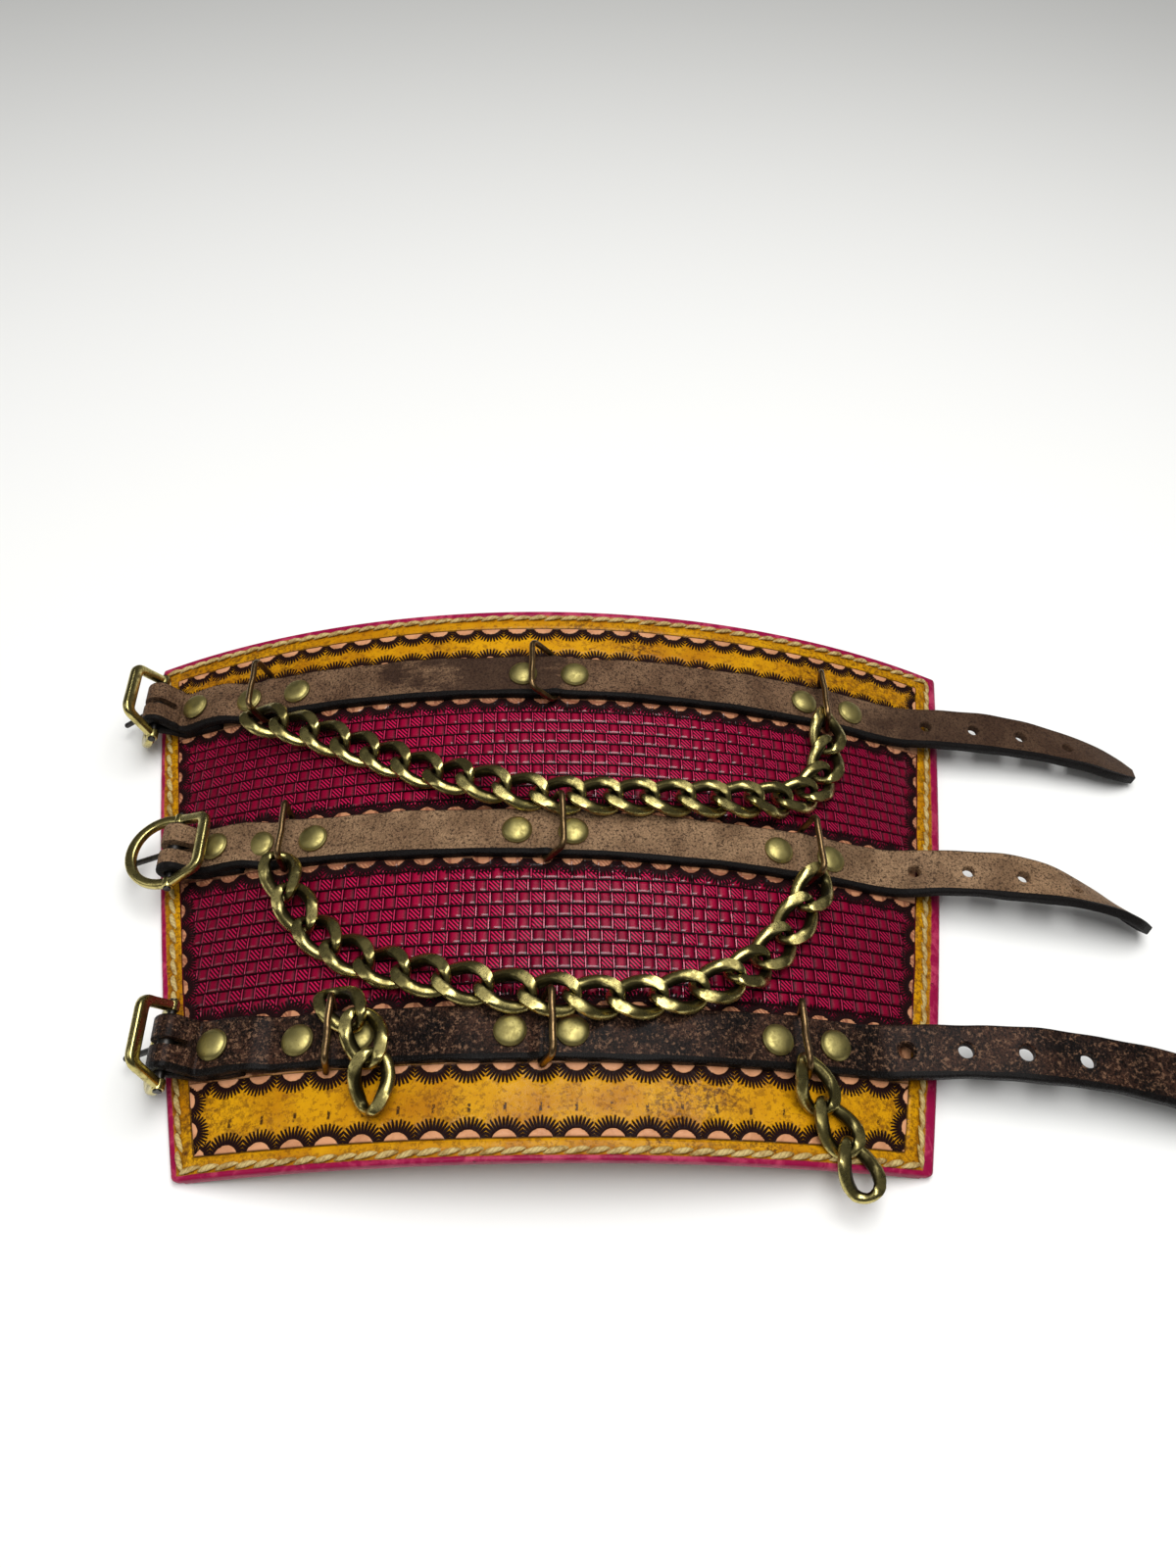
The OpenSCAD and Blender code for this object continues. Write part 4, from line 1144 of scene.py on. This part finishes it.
def cut_out(me, cutters, lining):
    """The mesh less the cutters, whose walls take the lining material."""
    holder = bpy.data.objects.new("holder", me)
    tool_mesh = joined(cutters)
    tool_mesh.materials.append(lining)
    tool = bpy.data.objects.new("tool", tool_mesh)
    for o in (holder, tool):
        bpy.context.scene.collection.objects.link(o)
    mod = holder.modifiers.new("holes", "BOOLEAN")
    mod.operation, mod.solver, mod.object, mod.material_mode = "DIFFERENCE", "EXACT", tool, "TRANSFER"
    mod.use_self = True
    bpy.context.view_layer.update()
    out = bpy.data.meshes.new_from_object(holder.evaluated_get(bpy.context.evaluated_depsgraph_get()))
    bpy.data.objects.remove(holder)
    bpy.data.objects.remove(tool)
    bpy.data.meshes.remove(tool_mesh)
    return out


def pin(centre, axis, r, half, sides=32, flare=1.0):
    """A cutter: a cylinder along an axis, or a cone that flares towards its upper end."""
    bm = bmesh.new()
    turn = Vector((0, 0, 1)).rotation_difference(Vector(axis)).to_matrix().to_4x4()
    bmesh.ops.create_cone(bm, cap_ends=True, segments=sides, radius1=r * MM, radius2=r * flare * MM,
                          depth=2 * half * MM, matrix=Matrix.Translation(Vector(centre)) @ turn)
    me = bpy.data.meshes.new("pin")
    bm.to_mesh(me)
    bm.free()
    return me


def cut_leather():
    """Raw leather, as on the walls of the holes."""
    m, t, p = new_material("cut leather")
    fibre = noise(t, object_place(t), 0.8, 3.0, 0.7)
    put(t, blend_colour(t, fibre, colour(206, 158, 114), colour(150, 104, 70)), p.inputs["Base Color"])
    p.inputs["Roughness"].default_value = 0.75
    return m


RAW = cut_leather()


def direction_on_floor(v):
    return arch_to_floor(v) - arch_to_floor([0.0, 0.0, 0.0])


def strap(i, material):
    """A strap, with its slot for the prong and its punched holes."""
    sections, holes = strap_sections(i)
    quads, run = smooth_run(sections, 0.9)
    a, b, v = strap_profile()
    left, right = (1 - a) / 2, (1 + a) / 2
    lower = left[:, None] * quads[:, None, 0] + right[:, None] * quads[:, None, 1]
    upper = left[:, None] * quads[:, None, 3] + right[:, None] * quads[:, None, 2]
    rings = (1 - b)[:, None] * lower + b[:, None] * upper
    # Slow unevenness of an old strap: its face swells and its edges wander a little
    normal = unit(quads[:, 3] - quads[:, 0])
    side = unit(quads[:, 1] - quads[:, 0])
    swell = 0.10 * np.sin(run / 5.3 + i) + 0.06 * np.sin(run / 2.9 + 2 * i)
    rings += (swell[:, None] * (b > 0.5))[..., None] * normal[:, None]
    wander = 0.16 * np.sin(run / 6.1 + 3 * i) + 0.08 * np.sin(run / 2.3)
    rings += (wander[:, None] * np.sign(a) * (np.abs(a) > 0.9))[..., None] * side[:, None]
    me = sweep(arch_to_floor(rings), u=run, v=v)
    bar, _, _, way, normal, _ = fold_parts(i)
    bm = bmesh.new()
    bmesh.ops.create_cube(bm, size=1.0)
    slot = bpy.data.meshes.new("slot")
    bm.to_mesh(slot)
    bm.free()
    half_slot, reach = SLOT_HALF[i], SLOT_REACH[i]
    corner = read(slot.vertices, "co", 3) * [10 + reach, 2 * half_slot, 20] + [reach / 2 - 5, 0, 0]
    ex, ez = -way, normal
    slot.vertices.foreach_set("co", arch_to_floor(
        bar + corner[:, :1] * ex + corner[:, 1:2] * [0, 1, 0] + corner[:, 2:] * ez).astype(np.float32).ravel())
    cutters = [slot, pin(arch_to_floor(bar + reach * ex), direction_on_floor(ez) / MM, half_slot, 10)]
    for p, n in holes:
        r, way_out = HOLE_SEEN_R[i], direction_on_floor(n) / MM
        cutters.append(pin(arch_to_floor(p), way_out, r, 5))
        cutters.append(pin(arch_to_floor(p + (SEAT + STRAP_T) * n), way_out, r * 0.98, 0.5, 32, 1.45))
    me.materials.append(material)
    me = cut_out(me, cutters, RAW)
    me.materials.clear()
    finish_piece(STRAPS[i] + "_strap_leather", me, "bracer", "strap_dark" if i == 0 else "strap_tan",
                 [material, RAW], 40, (STRAPS[i] + "_strap",))


for i, leather in enumerate((WRIST_STRAP, STRAP, OLD_STRAP)):
    strap(i, leather)

# Rivet caps
def revolved(profile, steps=40):
    bm = bmesh.new()
    verts = [bm.verts.new((r, 0, z)) for r, z in profile]
    edges = [bm.edges.new(pair) for pair in zip(verts, verts[1:])]
    bmesh.ops.spin(bm, geom=verts + edges, axis=(0, 0, 1), cent=(0, 0, 0), steps=steps, angle=2 * math.pi,
                   use_merge=True)
    bmesh.ops.remove_doubles(bm, verts=bm.verts, dist=1e-5)
    bmesh.ops.recalc_face_normals(bm, faces=bm.faces)
    me = bpy.data.meshes.new("turned")
    bm.to_mesh(me)
    bm.free()
    return me


CAP_H = 2.2
CAP_PROFILE = [(0, CAP_H)] + [
    (CAP_R * 0.955 * math.sin(t), 0.62 + (CAP_H - 0.62) * math.cos(t)) for t in np.linspace(0.16, 1.45, 10)
] + [(4.40, 0.74), (4.5, 0.52), (4.5, 0.26), (4.38, 0.06), (4.1, 0.0), (0, 0)]


def caps(i):
    """Domed rivet caps, each with its own small dents."""
    made = []
    rng = np.random.default_rng(20 + i)
    for k, x in enumerate(rivet_x(i)):
        me = revolved(CAP_PROFILE)
        local = read(me.vertices, "co", 3)
        for _ in range(3):
            at = rng.uniform(-3, 3, 2)
            near = np.exp(-((local[:, 0] - at[0]) ** 2 + (local[:, 1] - at[1]) ** 2) / 1.6)
            local[:, 2] -= np.where(local[:, 2] > 0.8, near * rng.uniform(0.03, 0.12), 0)
        h = (2 if k == 0 else 1) * LAYER + SEAT
        me.vertices.foreach_set("co", at_face(x, strap_y(i, x), h, local).astype(np.float32).ravel())
        made.append(me)
    finish_piece(STRAPS[i] + "_domed_caps", joined(made), "bracer", "brass", [CAP_BRASS], 50,
                 (STRAPS[i] + "_rivet_caps",))


for i in range(3):
    caps(i)

# Rings
RING_HALF, RING_TALL, RING_CORNER = (STRAP_W + 1.2 + 2 * WIRE_R) / 2, 5.3, 2.2


def rounded_loop(a, b, r, per_corner=7, per_side=(7, 4)):
    """A rectangle with rounded corners, as a closed run of points."""
    pts = []
    for q, (sx, sy) in enumerate(((1, 1), (-1, 1), (-1, -1), (1, -1))):
        for t in np.linspace(0, math.pi / 2, per_corner):
            w = q * math.pi / 2 + t
            pts.append((sx * (a - r) + r * math.cos(w), sy * (b - r) + r * math.sin(w)))
        nx, ny = ((-1, 1), (-1, -1), (1, -1), (1, 1))[q]
        end = (nx * (a - r), ny * b) if q in (0, 2) else (nx * a, ny * (b - r))
        count = per_side[0] if q in (0, 2) else per_side[1]
        last = pts[-1]
        for t in np.linspace(0, 1, count + 1)[1:-1]:
            pts.append((last[0] + (end[0] - last[0]) * t, last[1] + (end[1] - last[1]) * t))
    return np.array(pts)


def loop_rings(path, section_, closed=True):
    """Sections set square to a path: path (m, 3), section (n, 2) as along the side and up."""
    way = unit(np.roll(path, -1, 0) - np.roll(path, 1, 0)) if closed else unit(np.gradient(path, axis=0))
    up = np.array([0.0, 0.0, 1.0])
    side = unit(np.cross(way, up))
    up = np.cross(side, way)
    return path[:, None] + section_[None, :, :1] * side[:, None] + section_[None, :, 1:] * up[:, None]


def wire_ring(i, place, seed):
    """A bent wire ring, a little out of true."""
    node = STRAPS[i] + "_ring_" + place
    middle, axes = solids_in(node)[0]
    path = rounded_loop(RING_HALF, RING_TALL, RING_CORNER)
    rng = np.random.default_rng(seed)
    turn = np.arctan2(path[:, 1], path[:, 0])
    bend = 0.14 * np.sin(2 * turn + rng.uniform(0, 6)) + 0.08 * np.sin(5 * turn + rng.uniform(0, 6))
    path = np.concatenate([path, bend[:, None]], 1)
    rings = loop_rings(path, superellipse(14, WIRE_R, WIRE_R, 1.0))
    flat = rings.reshape(-1, 3) * MM @ axes + middle
    me = sweep(flat.reshape(rings.shape), closed=True)
    finish_piece(node + "_wire", me, STRAPS[i] + "_" + place + "_ring", "bronze", [BRONZE], 60, (node,))


for i in range(3):
    for j, place in enumerate(("left", "centre", "right")):
        wire_ring(i, place, 5 * i + j)

# Chains
LINK_L, LINK_W, LINK_R, LINK_TWIST, LINK_FLAT = 17.6, 12.0, 1.3, 44.0, 4.8


def link_template(steps=40, sides=12):
    """A twisted curb link, heavier along its sides, and how deep the patina lies on it, partly painted shade:
    darker on the link's inner side, lighter where its flat faces rub.
    """
    long_r, side_r = LINK_L / 2 - LINK_R, LINK_W / 2 - LINK_R

    def middle(t):
        x = (long_r - side_r) * np.clip(1.6 * np.cos(t), -1, 1) + side_r * np.cos(t)
        a = math.radians(LINK_TWIST) * x / long_r
        return np.stack([x, side_r * np.sin(t) * np.cos(a), side_r * np.sin(t) * np.sin(a)], -1)

    t = (np.arange(steps) + 0.5) * 2 * math.pi / steps
    p = middle(t)
    way = unit(middle(t + 0.035) - middle(t - 0.035))
    side = unit(np.cross(way, [0.0, 0.0, 1.0]))
    up = np.cross(side, way)
    w = np.arange(sides) * 2 * math.pi / sides
    heavy = np.abs(np.sin(t)) ** 1.5
    across = (LINK_R + 0.80 * heavy)[:, None, None]
    tall = (LINK_R + 0.22 * heavy)[:, None, None]
    rings = p[:, None] + across * np.cos(w)[None, :, None] * side[:, None] \
        - tall * np.sin(w)[None, :, None] * up[:, None]
    rings[..., :2] *= (1 - 0.055 * heavy)[:, None, None]
    rings[..., 2] = np.clip(rings[..., 2], -LINK_FLAT / 2, LINK_FLAT / 2)
    inner = np.linalg.norm(rings[..., :2] / [LINK_L, LINK_W], axis=-1)
    middle_r = np.linalg.norm(p[:, :2] / [LINK_L, LINK_W], axis=-1)
    rubbed = (np.abs(rings[..., 2]) / LINK_FLAT * 2) ** 3 * 0.6
    # Painted shade: the link's inner side is marked darker, partly patina, partly shade; the rubbed flat faces
    # stay light
    shade = np.clip((middle_r[:, None] - inner) * 9 + 0.15 - rubbed, 0, 1)
    return rings, shade


LINK, LINK_SHADE = link_template()


def chain(node, body):
    """The links of a chain, each at the place and turn of its solid."""
    made = []
    for middle, axes in solids_in(node):
        flat = LINK.reshape(-1, 3) * MM @ axes + middle
        made.append(sweep(flat.reshape(LINK.shape), closed=True, values=("patina_and_shade", LINK_SHADE)))
    finish_piece(node + "_links", joined(made), body, "brass", [BRASS], 38, (node,))


for which in ("elbow_chain_left", "elbow_chain_right", "middle_chain_left", "middle_chain_right"):
    chain(which, which + "_span")
for which in ("left", "right"):
    for k in (1, 2, 3):
        chain(which + "_dangle_" + str(k), which + "_link_" + str(k))

# Buckles
BUCKLE_W, RAIL_W, FRAME_T, ROUND_REACH, SQUARE_REACH, SQUARE_W = 25.0, 2.8, 2.2, 15.2, 11.6, 20.0
ROUND_DIR, SQUARE_DIR = (240, 191, 242), (114, 35, 120)


def wing_sweep(i, direction, path, section_, broad):
    """A rail along a path in a wing's plane, x out from the bar and y along it; broadest at the far end."""
    d = math.radians(direction)
    ex, ez = np.array([math.cos(d), 0, math.sin(d)]), np.array([-math.sin(d), 0, math.cos(d)])
    out_share = path[:, 0] / path[:, 0].max()
    path = np.concatenate([path, np.zeros((len(path), 1))], 1)
    rings = loop_rings(path, section_, False)
    grow = 1.05 + (broad - 1.05) * np.clip((out_share - 0.7) / 0.3, 0, 1) ** 1.5
    aside = rings - path[:, None]
    rings = path[:, None] + aside * [1, 1, 0] * grow[:, None, None] + aside * [0, 0, 1.2]
    bar = fold_parts(i)[0]
    out = bar + rings[..., :1] * ex + rings[..., 1:2] * [0, 1, 0] + rings[..., 2:] * ez
    return sweep(arch_to_floor(out))


def corner_path(points, r, per=6):
    """A polyline with its corners rounded."""
    pts = [np.array(points[0], float)]
    for a, b, c in zip(points, points[1:], points[2:]):
        a, b, c = (np.array(v, float) for v in (a, b, c))
        start, end = b + unit(a - b) * r, b + unit(c - b) * r
        for t in np.linspace(0, 1, per + 1):
            pts.append((1 - t) ** 2 * start + 2 * t * (1 - t) * b + t * t * end)
    pts.append(np.array(points[-1], float))
    fine = []
    for a, b in zip(pts, pts[1:]):
        count = max(1, int(np.linalg.norm(b - a) / 1.2))
        fine += [a + (b - a) * k / count for k in range(count)]
    return np.array(fine + [pts[-1]])


def buckle(i):
    """A buckle with a round wing, a square wing and the bosses that hold its bar."""
    rail = superellipse(20, RAIL_W / 2, FRAME_T / 2, 0.62)
    half = (BUCKLE_W - RAIL_W) / 2
    c = ROUND_REACH - BUCKLE_W / 2
    t = np.linspace(-math.pi / 2, math.pi / 2, 33)
    arc = np.stack([c + half * np.cos(t), half * np.sin(t)], -1)
    lead = np.stack([np.linspace(0.2, c, 5)[:-1], np.full(4, -half)], -1)
    round_path = np.concatenate([lead, arc, lead[::-1] * [1, -1]])
    end, far = SQUARE_REACH, SQUARE_W / 2 - RAIL_W / 2
    square_path = corner_path([(0.2, -half), (end, -far), (end, far), (0.2, half)], 2.6)
    made = [wing_sweep(i, ROUND_DIR[i], round_path, rail, 1.2),
            wing_sweep(i, SQUARE_DIR[i], square_path, rail, 1.4)]
    bar = fold_parts(i)[0]
    for s in (-1, 1):
        r = BAR_R + 0.6
        me = revolved([(0, -1.55), (r - 0.5, -1.55), (r - 0.12, -1.4), (r, -1.0), (r, 1.0), (r - 0.12, 1.4),
                       (r - 0.5, 1.55), (0, 1.55)], 28)
        p = read(me.vertices, "co", 3)
        out = bar + np.stack([p[:, 0], p[:, 2] + s * half, p[:, 1]], -1)
        me.vertices.foreach_set("co", arch_to_floor(out).astype(np.float32).ravel())
        made.append(me)
    me = joined(made)
    bm = bmesh.new()
    bm.from_mesh(me)
    bmesh.ops.recalc_face_normals(bm, faces=bm.faces)
    bm.to_mesh(me)
    bm.free()
    finish_piece(STRAPS[i] + "_buckle_rails", me, STRAPS[i] + "_buckle", "brass", [BRASS], 42,
                 (STRAPS[i] + "_buckle_frame",))


for i in range(3):
    buckle(i)

# Materials of the nodes that stay as built
for name, node in NODES.items():
    if name == "lining":
        keep = LINING
    elif name.endswith("_posts"):
        keep = CAP_BRASS
    elif name.endswith("_bar") or name.endswith("_prong"):
        keep = IRON
    else:
        continue
    node.data.materials.clear()
    node.data.materials.append(keep)

# Stage, light and camera
FLOOR_HALF = 4.0
# The camera's place, in metres, its turns, in radians, and its focal length in the picture's pixels
CAMERA_AT = (-0.03385249, -0.2056897, 0.31133)
YAW, PITCH, ROLL = 0.07043, 0.88451, 0.06244
FOCAL_PX, PICTURE_H, SENSOR_H = 1213.867, 1600, 36.0


def staged(name, data, place=Matrix()):
    """An object of the stage, which is no part of the bracer."""
    obj = bpy.data.objects.new(name, data)
    obj.matrix_world = place
    bpy.context.scene.collection.objects.link(obj)
    return obj


def pale_floor():
    """A pale floor with painted shade: it turns a little darker far behind."""
    bm = bmesh.new()
    bmesh.ops.create_grid(bm, x_segments=1, y_segments=1, size=FLOOR_HALF)
    me = bpy.data.meshes.new("floor")
    bm.to_mesh(me)
    bm.free()
    m, t, p = new_material("pale floor")
    split = t.nodes.new("ShaderNodeSeparateXYZ")
    t.links.new(object_place(t).socket, split.inputs[0])
    away = ramp(Val(t, split.outputs["Y"]), 0.1, 0.9)
    # Painted shade: the floor's colour darkens towards the back
    put(t, blend_colour(t, away, (0.90, 0.90, 0.88), (0.72, 0.72, 0.70)), p.inputs["Base Color"])
    p.inputs["Roughness"].default_value = 0.9
    p.inputs["Specular IOR Level"].default_value = 0.0
    me.materials.append(m)
    staged("floor", me)


def area(name, place, size, power):
    """A soft light aimed at the middle of the bracer."""
    light = bpy.data.lights.new(name, "AREA")
    light.shape = "RECTANGLE"
    light.size, light.size_y = size
    light.energy = power
    aim = (-Vector(place)).to_track_quat("-Z", "Y").to_matrix().to_4x4()
    staged(name, light, Matrix.Translation(place) @ aim)


def studio_world():
    """White to the camera, and dimmer as light on the bracer and in its reflections."""
    world = bpy.data.worlds.new("studio")
    bpy.context.scene.world = world
    world.use_nodes = True
    t = world.node_tree
    sky = t.nodes["Background"]
    rays = t.nodes.new("ShaderNodeLightPath")
    seen, shiny = Val(t, rays.outputs["Is Camera Ray"]), Val(t, rays.outputs["Is Glossy Ray"])
    put(t, (1.0, 1.0, 1.0), sky.inputs["Color"])
    put(t, seen * 0.78 + 0.22 - shiny * 0.17, sky.inputs["Strength"])


def camera():
    """The camera at the photograph's place."""
    ahead = Vector((math.sin(YAW) * math.cos(PITCH), math.cos(YAW) * math.cos(PITCH), -math.sin(PITCH)))
    level = Vector((math.cos(YAW), -math.sin(YAW), 0))
    above = level.cross(ahead)
    right = math.cos(ROLL) * level + math.sin(ROLL) * above
    upward = -math.sin(ROLL) * level + math.cos(ROLL) * above
    cam = bpy.data.cameras.new("camera")
    cam.sensor_fit = "VERTICAL"
    cam.sensor_height = SENSOR_H
    cam.lens = FOCAL_PX * SENSOR_H / PICTURE_H
    turned = Matrix((right, upward, -ahead)).transposed().to_4x4()
    bpy.context.scene.camera = staged("camera", cam, Matrix.Translation(CAMERA_AT) @ turned)


pale_floor()
area("overhead", (0.06, -0.02, 1.05), (1.15, 0.62), 13.0)
area("left_fill", (-0.9, -0.15, 0.7), (0.6, 0.6), 1.2)
studio_world()
camera()
bpy.context.scene.view_settings.view_transform = "Standard"
